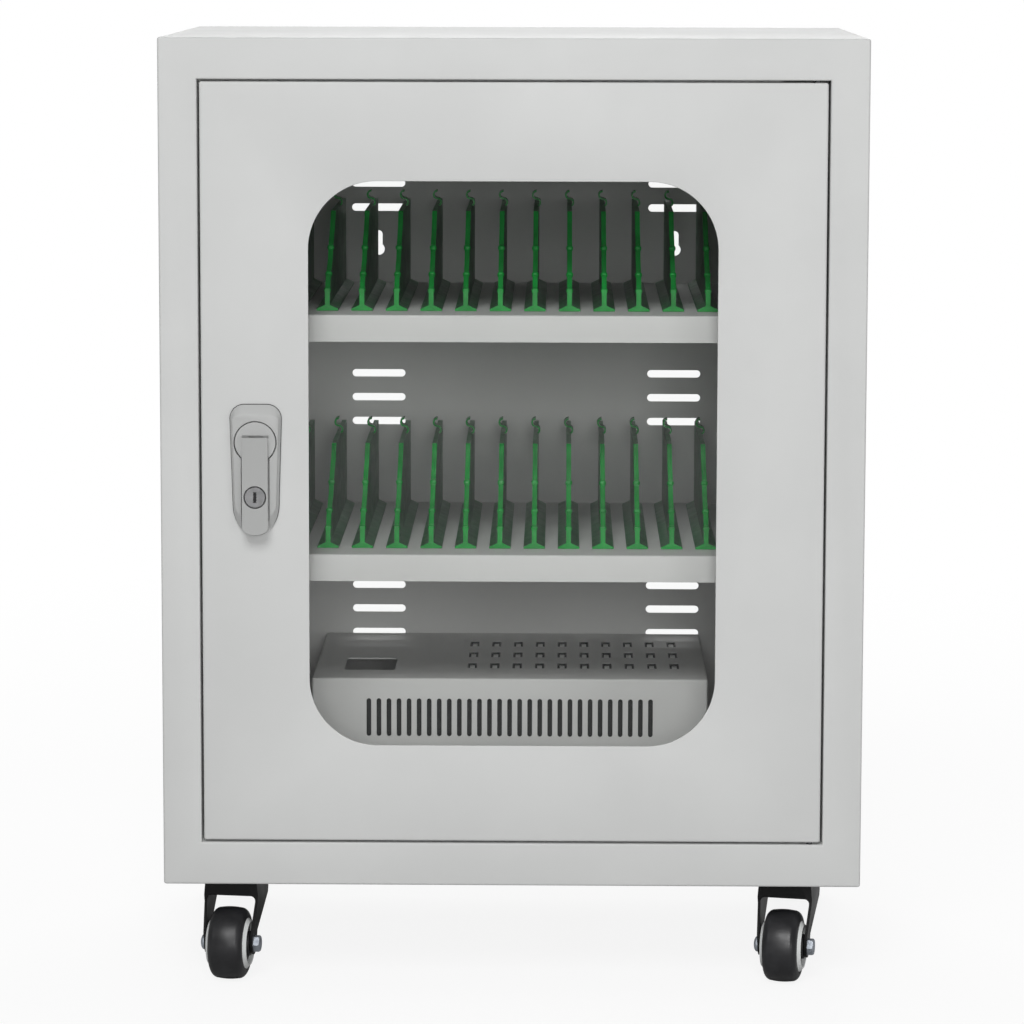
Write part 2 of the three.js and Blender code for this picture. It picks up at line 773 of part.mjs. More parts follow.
// Lock disc: the turning boss flush with the housing, slotted for the lever's lug, with a spindle behind
function lockDisc() {
  const rear = -disc_gap - seat_gap;
  const cam_front = return_depth + cam.gap;
  const pivot_z = lever_top - pivot_below_top;
  const lift = THREE.MathUtils.degToRad(lift_degrees);
  const face = housing.proud - pivot_proud;
  const slot_top = pivot_z + face * Math.tan(lift) + lug_radius / Math.cos(lift) + lug_gap;
  return cut(
    join(
      frontalRod(0, 0, -housing.proud, rear, disc_radius, disc_segments),
      frontalRod(0, 0, rear - sheet, cam_front - seat_gap, spindle_radius, spindle_segments),
      block(
        -spindle_square / 2, spindle_square / 2, rear, cam_front + cam.thickness - seat_gap,
        -spindle_square / 2, spindle_square / 2,
      ),
    ),
    block(
      -lug_width / 2 - lug_gap, lug_width / 2 + lug_gap,
      -housing.proud - overrun, -pivot_proud + lug_radius + lug_gap,
      pivot_z - lug_radius - lug_gap, slot_top,
    ),
    lateralRod(
      -pivot_proud, pivot_z, -disc_radius - overrun, disc_radius + overrun,
      lever_pin_radius + lug_gap, lever_pin_segments,
    ),
  );
}

// Lever: a flat bar that lies over the housing, with a heel cut so that it can tilt out on its pin
function lockLever() {
  const lift = THREE.MathUtils.degToRad(lift_degrees);
  const pivot_z = lever_top - pivot_below_top;
  const back_out = lever.back - pivot_proud;
  const clear = housing.proud - pivot_proud + lever_gap;
  const heel_out = (clear + pivot_below_top * Math.sin(lift)) / Math.cos(lift);
  const heel_z = (back_out * Math.cos(lift) - clear) / Math.sin(lift);
  const side_shape = outline([
    [-lever.back, lever.bottom], [-lever.front, lever.bottom], [-lever.front, lever_top],
    [-pivot_proud - heel_out, lever_top], [-lever.back, pivot_z + heel_z],
  ].reverse());
  const half = lever_width / 2;
  const face_shape = new THREE.Shape();
  face_shape.absellipse(0, lever.bottom + lever_end_rise, half, lever_end_rise, Math.PI, Math.PI * 2);
  face_shape.lineTo(half, lever_top);
  face_shape.lineTo(-half, lever_top);
  const bar = lateral(side_shape, -half, half).intersect(
    frontal(face_shape, -lever.front - overrun, 0, lug_pieces),
  );
  const lug_shape = new THREE.Shape();
  lug_shape.absarc(-pivot_proud, pivot_z, lug_radius, -Math.PI / 2, Math.PI / 2);
  lug_shape.lineTo(-lever.back - lug_radius, pivot_z + lug_radius);
  lug_shape.lineTo(-lever.back - lug_radius, pivot_z - lug_radius);
  return cut(
    join(bar, lateral(lug_shape, -lug_width / 2, lug_width / 2, lug_pieces)),
    lateralRod(
      -pivot_proud, pivot_z, -half - overrun, half + overrun, lever_pin_radius + lug_gap, lever_pin_segments,
    ),
    frontalRod(
      0, -cylinder_drop, -lever.front - overrun, 0, cylinder_radius + cylinder_gap, cylinder_segments,
    ),
  );
}

function leverPin() {
  return lateralRod(
    -pivot_proud, lever_top - pivot_below_top, -lever_pin_length / 2, lever_pin_length / 2,
    lever_pin_radius, lever_pin_segments,
  );
}

function keyCylinder() {
  return cut(
    frontalRod(0, -cylinder_drop, -lever.front, -lever.back, cylinder_radius, cylinder_segments),
    block(
      -key_slot.width / 2, key_slot.width / 2, -lever.front - overrun, -lever.front + key_slot.depth,
      -cylinder_drop - key_slot.height / 2, -cylinder_drop + key_slot.height / 2,
    ),
  );
}

// Cam: it points at the frame's return behind the door, and stops just short of it
function lockCam() {
  const front = return_depth + cam.gap;
  const rear = front + cam.thickness;
  const reach = lockPlace().x - opening.left - cam.strike_clearance;
  const hole = spindle_square / 2 + seat_gap;
  const shape = new THREE.Shape();
  shape.absarc(0, 0, cam.half_height, -Math.PI / 2, Math.PI / 2);
  shape.lineTo(-reach, cam.half_height);
  shape.lineTo(-reach, -cam.half_height / 2);
  shape.lineTo(-reach + cam.half_height / 2, -cam.half_height);
  return cut(
    join(
      frontal(shape, front, rear, lug_pieces),
      frontalRod(0, 0, rear - cam.thickness / 2, rear + cam.nut_height, cam.nut_radius, nut_sides),
    ),
    block(-hole, hole, front - overrun, rear, -hole, hole),
  );
}

// Casters
function casterPlaces() {
  const side = half_width - caster_inset;
  return [
    { name: 'front_left', x: -side, y: caster_inset },
    { name: 'front_right', x: side, y: caster_inset },
    { name: 'rear_left', x: -side, y: cabinet_depth - caster_inset },
    { name: 'rear_right', x: side, y: cabinet_depth - caster_inset },
  ];
}

// Fork: a channel pressed from one plate, its cheeks tapering down to the bolt that they carry.
// Drawn about the swivel axis, with z = 0 at the floor panel's underside and the wheel towards -Y.
function casterFork() {
  const top = -race_height - swivel_gap;
  const skirt_bottom = top - fork_skirt;
  const axle_z = wheel_radius - floor_underside;
  const end = axle_z - fork_end_radius;
  const reach = fork_top_depth / 2;
  const half = fork_width / 2;
  const top_half = fork_top_width / 2;
  const cheeks = new THREE.Shape();
  cheeks.absarc(-caster_trail, axle_z, fork_end_radius, Math.PI, Math.PI * 2);
  cheeks.lineTo(-caster_trail + fork_end_radius, -fork_neck_drop);
  cheeks.lineTo(reach, -fork_shoulder - race_height);
  cheeks.lineTo(reach, top);
  cheeks.lineTo(-reach, top);
  cheeks.lineTo(-reach, -fork_shoulder - race_height);
  cheeks.lineTo(-caster_trail - fork_end_radius, -fork_neck_drop);
  const outside = outline([
    [-half, end], [half, end], [half, axle_z], [top_half, skirt_bottom],
    [top_half - fork_plate / 2, top], [-top_half + fork_plate / 2, top],
    [-top_half, skirt_bottom], [-half, axle_z],
  ]);
  const inside = (z, corner) => outline([
    [-half + fork_plate, end - overrun], [half - fork_plate, end - overrun], [half - fork_plate, axle_z],
    [top_half - fork_plate, z - corner], [top_half - fork_plate - corner, z],
    [-top_half + fork_plate + corner, z], [-top_half + fork_plate, z - corner],
    [-half + fork_plate, axle_z],
  ]);
  const room = block(
    -top_half, top_half, -reach + fork_plate, reach - fork_plate, skirt_bottom - overrun, top - fork_plate,
  );
  const far = caster_trail + reach;
  const hexagon = nut_across_flats / Math.sqrt(3);
  return join(
    cut(
      lateral(cheeks, -top_half, top_half, fork_pieces).intersect(frontal(outside, -far, far)),
      frontal(inside(skirt_bottom, fork_corner), -far, far),
      frontal(inside(top - fork_plate, seat_gap), -far, far).intersect(room),
      uprightRod(0, 0, skirt_bottom, top + overrun, stud_radius + stud_clearance, stud_segments),
    ),
    lateralRod(-caster_trail, axle_z, -half, half, axle_radius, axle_segments),
    lateralRod(-caster_trail, axle_z, -half - bolt_head_thickness, -half + sheet, hexagon, nut_sides),
    lateralRod(-caster_trail, axle_z, half - sheet, half + nut_thickness, hexagon, nut_sides),
  );
}

// A profile of [radius, x] points turned about the axle
function turned(profile) {
  const closed = [...profile, profile[0]].map(([radius, x]) => new THREE.Vector2(radius, x));
  const lathe = new THREE.LatheGeometry(closed, wheel_segments);
  return solid(lathe.rotateZ(-Math.PI / 2).translate(0, -caster_trail, wheel_radius - floor_underside));
}

function tyre() {
  const half = tread_width / 2;
  const edge = wheel_radius - tyre_crown - tyre_shoulder;
  return turned([
    [tyre_inner_radius, -half], [edge, -half], [wheel_radius - tyre_crown, -half + tyre_shoulder / 2],
    [wheel_radius, 0],
    [wheel_radius - tyre_crown, half - tyre_shoulder / 2], [edge, half], [tyre_inner_radius, half],
  ]);
}

function hub() {
  const rim_radius = tyre_inner_radius - seat_gap;
  const rim_inner = rim_radius - rim_wall;
  const rim_half = tread_width / 2 + rim_proud;
  const web_half = hub_web / 2;
  const boss_half = fork_width / 2 - fork_plate - boss_gap;
  const bore = axle_radius + hub_clearance;
  const side = [
    [bore, boss_half], [boss_radius, boss_half], [rim_inner, web_half],
    [rim_radius - rim_cone, rim_half], [rim_radius, tread_width / 2],
  ];
  return turned([...side.map(([radius, x]) => [radius, -x]), ...side.reverse()]);
}

// Assembly
const cabinet = new THREE.Group();
cabinet.position.y = -middle_y;

cabinet.add(
  piece('cabinet_shell', carcass(), materials.steel),
  piece('floor_panel', floorPanel(), materials.panel),
  piece('back_panel', backPanel(), materials.panel),
  piece('power_box_cover', powerBoxCover(), materials.panel),
  piece('socket_board', socketBoard(), materials.board),
  piece('power_supply', powerSupply(), materials.supply),
  piece('mains_inlet', mainsInlet(), materials.inlet),
  piece('door_panel', doorPanel(), materials.steel),
  piece('window_glass', windowGlass(), materials.glass),
  piece('glass_retainer', glassRetainer(), materials.panel),
  piece('hinge_pin_top', hingePin(door.top, 1), materials.pin),
  piece('hinge_pin_bottom', hingePin(door.bottom, -1), materials.pin),
);

const one_divider = divider();
for (const [shelf_name, height] of Object.entries(shelf_heights)) {
  cabinet.add(piece(`shelf_${shelf_name}`, shelf(height), materials.panel));
  for (let index = 0; index < divider_count; index += 1) {
    const number = String(index + 1).padStart(2, '0');
    const mesh = piece(`divider_${shelf_name}_${number}`, one_divider, materials.green);
    const x = divider_shift + (index - (divider_count - 1) / 2) * divider_pitch;
    mesh.position.set(x, divider_front, body_bottom + height + seat_gap);
    cabinet.add(mesh);
  }
}

const lock = new THREE.Group();
lock.position.set(lockPlace().x, 0, lockPlace().z);
lock.add(
  piece('lock_housing', lockHousing(), materials.lock),
  piece('lock_disc', lockDisc(), materials.lock),
  piece('lock_cam', lockCam(), materials.cam),
  piece('lock_lever', lockLever(), materials.lock),
  piece('lever_pin', leverPin(), materials.pin),
  piece('key_cylinder', keyCylinder(), materials.cylinder),
);
cabinet.add(lock);

for (const { name, x, y } of casterPlaces()) {
  const caster = new THREE.Group();
  caster.position.set(x, y, floor_underside);
  caster.rotation.z = THREE.MathUtils.degToRad(turn_degrees[name]);
  caster.add(
    piece(`caster_fork_${name}`, casterFork(), materials.fork),
    piece(`caster_tyre_${name}`, tyre(), materials.tyre),
    piece(`caster_hub_${name}`, hub(), materials.hub),
  );
  cabinet.add(caster);
}

export default cabinet;
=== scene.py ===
"""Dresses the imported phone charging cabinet. Metres, +Z up, the front faces -Y, the floor is at z = 0."""
import json
import math

import bmesh
import bpy
from mathutils import Matrix, Vector


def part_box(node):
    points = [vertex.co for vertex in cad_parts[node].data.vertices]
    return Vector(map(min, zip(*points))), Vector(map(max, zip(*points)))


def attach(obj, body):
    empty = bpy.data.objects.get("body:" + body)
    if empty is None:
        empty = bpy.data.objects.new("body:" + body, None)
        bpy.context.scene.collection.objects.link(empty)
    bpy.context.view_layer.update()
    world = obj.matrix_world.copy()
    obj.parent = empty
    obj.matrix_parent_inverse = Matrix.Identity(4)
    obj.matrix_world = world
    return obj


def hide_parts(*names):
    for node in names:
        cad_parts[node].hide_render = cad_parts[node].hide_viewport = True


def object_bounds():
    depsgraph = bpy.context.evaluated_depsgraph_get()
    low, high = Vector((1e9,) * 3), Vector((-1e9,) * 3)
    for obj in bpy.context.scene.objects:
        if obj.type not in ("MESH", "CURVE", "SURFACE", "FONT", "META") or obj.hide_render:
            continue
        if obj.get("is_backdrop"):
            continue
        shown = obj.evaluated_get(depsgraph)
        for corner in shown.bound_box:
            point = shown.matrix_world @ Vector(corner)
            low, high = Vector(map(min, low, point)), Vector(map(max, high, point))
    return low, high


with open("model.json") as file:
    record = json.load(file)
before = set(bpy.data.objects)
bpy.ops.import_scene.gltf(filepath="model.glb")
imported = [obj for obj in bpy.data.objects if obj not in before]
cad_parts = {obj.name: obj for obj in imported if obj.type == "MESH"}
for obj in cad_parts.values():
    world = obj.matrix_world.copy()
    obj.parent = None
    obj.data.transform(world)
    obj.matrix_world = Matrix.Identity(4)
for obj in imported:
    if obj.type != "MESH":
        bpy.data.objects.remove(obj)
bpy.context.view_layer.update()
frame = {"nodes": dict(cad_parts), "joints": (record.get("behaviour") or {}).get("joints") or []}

# Sheet metal, clearances and angles
sheet = 0.0012
bend = 0.002
bend_steps = 4
seat_gap = 0.0003
overrun = 0.004
crease = math.radians(32)
close = 0.00002
quarter = math.pi / 2
half_turn = math.pi
full_turn = math.tau

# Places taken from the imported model
shell_low, shell_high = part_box("cabinet_shell")
door_low, door_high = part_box("door_panel")
front = shell_low.y
base = shell_low.z
joints = {joint["name"]: joint for joint in frame["joints"]}

# Carcass
door_gap = 0.002
return_depth = 0.0218
rear_flange = 0.015
base_flange = 0.020
stop_lip = 0.008
stop_short = 0.040
mouth_bend = 0.0016

# Door
door_lip = 0.010
window_inset = 0.0915
window_end_inset = 0.0835
window_radius = 0.058
window_steps = 24
nose_steps = 6
spindle_hole = 0.0065

# Back panel, heights above the carcass's base
back_foot = 0.024
vent_columns = (-0.1312, 0.1472)
vent_groups = (0.581, 0.379, 0.1767)
vent_pitch = 0.0227
vent_length = 0.050
vent_width = 0.0070
keyhole_height = 0.519
keyhole_radius = 0.0056
keyhole_neck = 0.0036
keyhole_rise = 0.014
inlet_low, inlet_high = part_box("mains_inlet")
inlet_middle = (inlet_low + inlet_high) / 2
inlet_hole_half_width = 0.0138
inlet_hole_half_height = 0.0103

# Power box
box_foot = 0.012
grille_count = 29
grille_pitch = 0.009
grille_middle = 0.1176
grille_length = 0.0345
grille_width = 0.0042
port_columns = 10
port_rows = 3
port_pitch = 0.0204
port_row_pitch = 0.0575
port_inset = 0.0282
port_rear = 0.0595
port_width = 0.0086
port_depth = 0.027
port_corner = sheet / 2
cutout_inset = 0.0266
cutout_front = 0.0425
cutout_width = 0.046
cutout_depth = 0.0625
cutout_corner = 0.004

# Sockets
board_thickness = 0.0016
board_margin = 0.014
socket_clearance = 0.0001
socket_height = 0.014
socket_wall = 0.0009
socket_corner = socket_wall / 2
socket_inner_corner = socket_wall / 3
socket_floor = 0.0006
socket_sunk = 0.0002
socket_gap = 0.001
tongue_width = 0.0044
tongue_depth = 0.0155
tongue_forward = 0.002
tongue_sunk = 0.0008
tongue_round = 0.0002
film_back = 0.005
film_inset = 0.014
film_low = 0.086
film_thickness = 0.0005
film_lip = 0.012

# Floor and swivels, heights above the ground
floor_under = base + sheet + seat_gap
floor_upstand = 0.012
race_radius = 0.021
race_height = 0.004
race_edge = 0.0012
stud_radius = 0.006
stud_head_radius = 0.011
stud_head_height = 0.004
swivel_gap = 0.0005
fork_plate = 0.0026

# Turned pieces
fine_steps = 48
plain_steps = 24
small_steps = 12
edge_steps = 2


# Planes that outlines are drawn in
def frontal(u, v, w):
    return Vector((u, w, v))


def level(u, v, w):
    return Vector((u, v, w))


def lateral(u, v, w):
    return Vector((w, u, v))


# Outlines
def arc(u, v, radius, start, end, steps, squeeze=1.0):
    """Points round a centre from one angle to another, flattened along v by squeeze."""
    angles = [start + (end - start) * step / steps for step in range(steps + 1)]
    return [(u + radius * math.cos(a), v + radius * squeeze * math.sin(a)) for a in angles]


def circle(u, v, radius, steps):
    return arc(u, v, radius, 0, full_turn, steps)[:-1]


def rectangle(u0, u1, v0, v1):
    return [(u0, v0), (u1, v0), (u1, v1), (u0, v1)]


def rounded_rectangle(u0, u1, v0, v1, radius, steps):
    return (
        arc(u1 - radius, v1 - radius, radius, 0, quarter, steps)
        + arc(u0 + radius, v1 - radius, radius, quarter, half_turn, steps)
        + arc(u0 + radius, v0 + radius, radius, half_turn, half_turn + quarter, steps)
        + arc(u1 - radius, v0 + radius, radius, half_turn + quarter, full_turn, steps)
    )


def rounded_about(u, v, half_u, half_v, radius, steps):
    return rounded_rectangle(u - half_u, u + half_u, v - half_v, v + half_v, radius, steps)


def dome(radius, height, steps, low=0.0):
    """A quarter ellipse from the rim up to the crown."""
    angles = [quarter * step / steps for step in range(steps + 1)]
    return [(radius * math.cos(a), low + height * math.sin(a)) for a in angles]


def slotted(u, v, length, width, steps, turn=0.0):
    """A slot with round ends, lying along u or turned by a quarter to stand along v."""
    reach = (length - width) / 2
    across, up = reach * math.cos(turn), reach * math.sin(turn)
    return (
        arc(u + across, v + up, width / 2, turn - quarter, turn + quarter, steps)
        + arc(u - across, v - up, width / 2, turn + quarter, turn + quarter * 3, steps)
    )


def both_sides(points):
    """An outline from its right half, drawn from the bottom up, and its mirror image."""
    return [*points, *((-u, v) for u, v in reversed(points))]


def mirrored(profile):
    """A turned body's profile reflected in the plane across its axis, in reverse order."""
    return [(radius, -along) for radius, along in reversed(profile)]


# Shapes in a bmesh. solid, boxed and turned each start a new one
def box_between(bm, low, high):
    verts = bmesh.ops.create_cube(bm, size=1.0)["verts"]
    bmesh.ops.scale(bm, vec=Vector(high) - Vector(low), verts=verts)
    bmesh.ops.translate(bm, vec=(Vector(high) + Vector(low)) / 2, verts=verts)
    return verts


def stack(bm, loops):
    """A closed body through loops of points, one after another."""
    rings = [[bm.verts.new(point) for point in loop] for loop in loops]
    for near, far in zip(rings, rings[1:]):
        for here in range(len(near)):
            bm.faces.new((near[here - 1], near[here], far[here], far[here - 1]))
    for ring in (rings[0], rings[-1]):
        bm.faces.new(ring)


def prism(bm, outline, plane, start, end):
    stack(bm, [[plane(u, v, w) for u, v in outline] for w in (start, end)])


def solid(outline, plane, start, end):
    bm = bmesh.new()
    prism(bm, outline, plane, start, end)
    return bm


def boxed(low, high):
    bm = bmesh.new()
    box_between(bm, low, high)
    return bm


def turned(profile, steps, matrix, closed=False):
    """A profile of (radius, height) points turned about the z axis, then put in place."""
    bm = bmesh.new()
    verts = [bm.verts.new((radius, 0, height)) for radius, height in profile]
    pairs = list(zip(verts, verts[1:]))
    if closed:
        pairs.append((verts[-1], verts[0]))
    edges = [bm.edges.new(pair) for pair in pairs]
    bmesh.ops.spin(
        bm, geom=verts + edges, cent=(0, 0, 0), axis=(0, 0, 1), angle=full_turn, steps=steps, use_merge=True,
    )
    bmesh.ops.remove_doubles(bm, verts=bm.verts[:], dist=close)
    bmesh.ops.transform(bm, matrix=matrix, verts=bm.verts[:])
    return bm


def joined(bm, *others):
    """One bmesh that holds several closed bodies."""
    for other in others:
        mesh = bpy.data.meshes.new("other")
        other.to_mesh(mesh)
        other.free()
        bm.from_mesh(mesh)
        bpy.data.meshes.remove(mesh)
    return bm


def face_at(bm, axis, value):
    return next(f for f in bm.faces if all(abs(v.co[axis] - value) < close for v in f.verts))


def inset_at(bm, axis, value, low, high):
    """Insets the flat face at a place, moves its corners to a rectangle's and returns it."""
    face = face_at(bm, axis, value)
    bmesh.ops.inset_region(bm, faces=[face], thickness=sheet)
    middle = face.calc_center_median()
    for v in face.verts:
        for i in range(len(middle)):
            if v.co[i] < middle[i] - close:
                v.co[i] = low[i]
            elif v.co[i] > middle[i] + close:
                v.co[i] = high[i]
    return face


def drop_faces(bm, *faces):
    bmesh.ops.delete(bm, geom=list(faces), context="FACES_ONLY")


def extrude_rim(bm, edges, vector):
    made = bmesh.ops.extrude_edge_only(bm, edges=edges)["geom"]
    bmesh.ops.translate(bm, vec=vector, verts=[g for g in made if isinstance(g, bmesh.types.BMVert)])


def round_edges(bm, edges, radius, steps):
    bmesh.ops.bevel(
        bm, geom=edges, offset=radius, segments=steps, profile=0.5, affect="EDGES", material=-1,
    )


def soften(bm, radius, steps):
    """Rounds every sharp edge."""
    sharp = [e for e in bm.edges if len(e.link_faces) == 2 and e.calc_face_angle(0) > crease]
    round_edges(bm, sharp, radius, steps)


# Objects made from a bmesh
def put(thing, **values):
    for key, value in values.items():
        setattr(thing, key, value)
    return thing


def in_scene(name, data):
    obj = bpy.data.objects.new(name, data)
    bpy.context.scene.collection.objects.link(obj)
    return obj


def as_object(bm, name, open_skin=False):
    """An object from a bmesh. The faces of an open skin already point outwards."""
    if not open_skin:
        bmesh.ops.recalc_face_normals(bm, faces=bm.faces[:])
    mesh = bpy.data.meshes.new(name)
    bm.to_mesh(mesh)
    bm.free()
    return in_scene(name, mesh)


def settled(obj, *helpers):
    """A bmesh of an object with its modifiers applied. The object and its helpers go."""
    depsgraph = bpy.context.evaluated_depsgraph_get()
    mesh = bpy.data.meshes.new_from_object(obj.evaluated_get(depsgraph))
    bm = bmesh.new()
    bm.from_mesh(mesh)
    bpy.data.meshes.remove(mesh)
    for gone in (obj, *helpers):
        data = gone.data
        bpy.data.objects.remove(gone)
        bpy.data.meshes.remove(data)
    return bm


def folded(bm):
    """An open skin given one sheet's thickness on its inner side."""
    obj = as_object(bm, "skin", open_skin=True)
    put(obj.modifiers.new("sheet", "SOLIDIFY"), thickness=sheet, offset=-1, use_even_offset=True)
    return settled(obj)


def tray(low, high, *open_sides):
    """A folded sheet box, open at sides that are given as (axis, place)."""
    bm = boxed(low, high)
    gone = [face_at(bm, axis, place) for axis, place in open_sides]
    bends = [e for e in bm.edges if not any(e in face.edges[:] for face in gone)]
    drop_faces(bm, *gone)
    round_edges(bm, bends, bend, bend_steps)
    return folded(bm)


def combined(bm, other, operation="DIFFERENCE"):
    obj = as_object(bm, "body")
    helper = as_object(other, "helper")
    put(obj.modifiers.new("combine", "BOOLEAN"), operation=operation, solver="EXACT", object=helper)
    return settled(obj, helper)


def piece(name, bm, finish, slot, *stands_for, body="cabinet"):
    obj = as_object(bm, name)
    for polygon in obj.data.polygons:
        polygon.use_smooth = True
    obj.data.set_sharp_from_angle(angle=crease)
    obj.data.materials.append(finish)
    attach(obj, body)
    if stands_for:
        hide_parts(*stands_for)
    return obj


# Finishes
def srgb(red, green, blue):
    """A colour of the photograph's scale, 0 to 255, as Blender's linear values."""
    def linear(value):
        share = value / 255
        return share / 12.92 if share <= 0.04045 else ((share + 0.055) / 1.055) ** 2.4
    return (linear(red), linear(green), linear(blue), 1.0)


def shade(colour, share):
    """A lighter or darker share of a colour of 0 to 255, as linear values."""
    return tuple(min(1.0, value * share) for value in srgb(*colour)[:3]) + (1.0,)


def feed(node, inputs):
    """Gives inputs of a node, by name or number, a value or a link each."""
    for key, value in inputs.items():
        if isinstance(value, bpy.types.NodeSocket):
            node.id_data.links.new(value, node.inputs[key])
        else:
            node.inputs[key].default_value = value
    return node


def add_node(tree, kind, inputs, **settings):
    return feed(put(tree.nodes.new(kind), **settings), inputs)


class Nodes:
    """A material's node tree, with short calls for what every finish needs."""

    def __init__(self, name):
        self.material = bpy.data.materials.new(name)
        self.material.use_nodes = True
        self.tree = self.material.node_tree
        self.shader = self.tree.nodes["Principled BSDF"]
        self.coordinates = self.tree.nodes.new("ShaderNodeTexCoord").outputs["Object"]

    def add(self, kind, inputs, **settings):
        return add_node(self.tree, kind, inputs, **settings)

    def set(self, **inputs):
        feed(self.shader, {key.replace("_", " "): value for key, value in inputs.items()})

    def noise(self, scale, detail=2.0, stretch=(1, 1, 1)):
        mapping = self.add("ShaderNodeMapping", {"Scale": stretch, "Vector": self.coordinates})
        pattern = {"Scale": scale, "Detail": detail, "Vector": mapping.outputs["Vector"]}
        return self.add("ShaderNodeTexNoise", pattern).outputs["Fac"]

    def spread(self, source, low, high, start=0.3, end=0.7):
        """A value between low and high that follows a pattern."""
        limits = {"From Min": start, "From Max": end, "To Min": low, "To Max": high}
        return self.add("ShaderNodeMapRange", {"Value": source, **limits}).outputs["Result"]

    def between(self, source, first, second):
        """A colour between two that follows a pattern."""
        inputs = {"Factor": source, "A": first, "B": second}
        return self.add("ShaderNodeMix", inputs, data_type="RGBA").outputs["Result"]

    def bump(self, source, strength, distance, under=None):
        inputs = {"Height": source, "Strength": strength, "Distance": distance}
        if under is not None:
            inputs["Normal"] = under
        return self.add("ShaderNodeBump", inputs).outputs["Normal"]

    def mixed(self, share, first, second):
        """Sends a mix of two shaders to the surface."""
        mix = self.add("ShaderNodeMixShader", {"Fac": share, 1: first, 2: second})
        feed(self.tree.nodes["Material Output"], {"Surface": mix.outputs["Shader"]})


def finish(name, colour, roughness, cloud, tones, wear, gloss, skins, span=(0.3, 0.7), **settings):
    """A material whose colour, roughness and skin each follow a noise of (scale, detail, stretch).

    The cloud leads the colour between its tones, which are shares of it. The wear leads the roughness, which
    gloss lets wander down and up. Each skin is a noise with its bumps' strength and depth, over the one before.
    """
    nodes = Nodes(name)
    pattern = nodes.spread(nodes.noise(*cloud), 0, 1, *span)
    darkest, lightest = (shade(colour, tone) for tone in tones)
    smoothest, roughest = (roughness + change for change in gloss)
    normal = None
    for noise, strength, depth in skins:
        normal = nodes.bump(nodes.noise(*noise), strength, depth, normal)
    nodes.set(
        Base_Color=nodes.between(pattern, darkest, lightest),
        Roughness=nodes.spread(nodes.noise(*wear), smoothest, roughest), Normal=normal, **settings,
    )
    return nodes.material


def powder_coat(name, colour, roughness, coat=0.03, gleam=0.28):
    """Baked powder paint: an orange-peel skin, fine grit and a faint unevenness."""
    return finish(
        name, colour, roughness, cloud=(9.0, 3.0), tones=(0.975, 1.02), wear=(42.0, 4.0), gloss=(-0.05, 0.06),
        skins=[((640.0,), 0.16, 0.00012), ((2600.0,), 0.08, 0.00004)],
        Coat_Weight=coat, Coat_Roughness=0.35, Specular_IOR_Level=gleam,
    )


def moulded(name, colour, roughness):
    """Moulded plastic with a fine spark-eroded grain."""
    return finish(
        name, colour, roughness, cloud=(30.0, 3.0), tones=(0.93, 1.06), wear=(120.0,), gloss=(-0.05, 0.06),
        skins=[((900.0,), 0.25, 0.00006)],
    )


def plated(name, colour, roughness, stretch=(1, 1, 1)):
    """Zinc plate or brushed steel: bright, with a cloudy sheen and fine scratches."""
    return finish(
        name, colour, roughness, cloud=(160.0, 4.0), tones=(0.85, 1.1), wear=(400.0, 3.0, stretch),
        gloss=(-0.08, 0.1), skins=[((1500.0, 2.0, stretch), 0.2, 0.00003)], Metallic=1.0,
    )


def rubber(name, colour, roughness):
    """Tyre rubber: nearly black, with a worn and dusty tread."""
    return finish(
        name, colour, roughness, cloud=(55.0, 5.0), tones=(1.0, 1.9), wear=(80.0, 3.0), gloss=(-0.08, 0.08),
        skins=[((1200.0,), 0.3, 0.00008)], span=(0.45, 0.8),
    )


def clear_green(name, colour, roughness, clear):
    """Translucent moulded plastic: saturated green with flow clouds and a glossy skin."""
    return finish(
        name, colour, roughness, cloud=(60.0, 3.0, (1, 0.3, 1)), tones=(0.8, 1.25), wear=(90.0,),
        gloss=(-0.06, 0.08), skins=[((300.0,), 0.12, 0.00008)],
        Transmission_Weight=clear, IOR=1.45, Specular_IOR_Level=0.35,
    )


def window_glass(name, tint, gloss, bending):
    """A thin pane: it passes light with a slight tint and mirrors a little at its surface."""
    nodes = Nodes(name)
    nodes.tree.nodes.remove(nodes.shader)
    clear = nodes.add("ShaderNodeBsdfTransparent", {"Color": tint})
    mirror = nodes.add("ShaderNodeBsdfGlossy", {"Roughness": gloss})
    fresnel = nodes.add("ShaderNodeFresnel", {"IOR": bending})
    nodes.mixed(fresnel.outputs["Fac"], clear.outputs["BSDF"], mirror.outputs["BSDF"])
    return nodes.material


# The finishes' colours are in the photograph's scale
steel = powder_coat("powder_coated_steel", (209, 210, 209), 0.48)
# The inner pieces' paint is a lighter copy of the carcass's: painted light that brightens the dim inside of the
# cabinet
panel = powder_coat("powder_coated_panel", (218, 218, 217), 0.46)
lock_paint = powder_coat("painted_lock_casting", (184, 185, 184), 0.42)
lever_paint = powder_coat("painted_lever", (173, 174, 173), 0.4)
pane = window_glass("window_pane", tint=(0.988, 0.992, 0.988, 1.0), gloss=0.03, bending=1.34)
# The dividers wear two copies of one green: the saturated one is painted light on the faces that look to the
# front, the paler, clearer one is painted shade on the faces that look up and aside
green = clear_green("clear_green_plastic", (24, 152, 62), 0.38, clear=0.12)
painted_shade_green = clear_green("clear_green_depth", (84, 150, 104), 0.38, clear=0.5)
zinc = plated("zinc_plate", (188, 194, 202), 0.6)
dull_pin = plated("dull_hinge_pin", (92, 93, 95), 0.5)
brushed = plated("brushed_cylinder", (144, 144, 145), 0.44, stretch=(1, 1, 12))
aluminium = plated("aluminium_case", (96, 98, 100), 0.5, stretch=(12, 1, 1))
circuit = moulded("socket_board_laminate", (34, 74, 50), 0.5)
black_plastic = moulded("black_inlet_plastic", (30, 30, 32), 0.42)
white_plastic = moulded("white_socket_tongue", (244, 244, 244), 0.4)
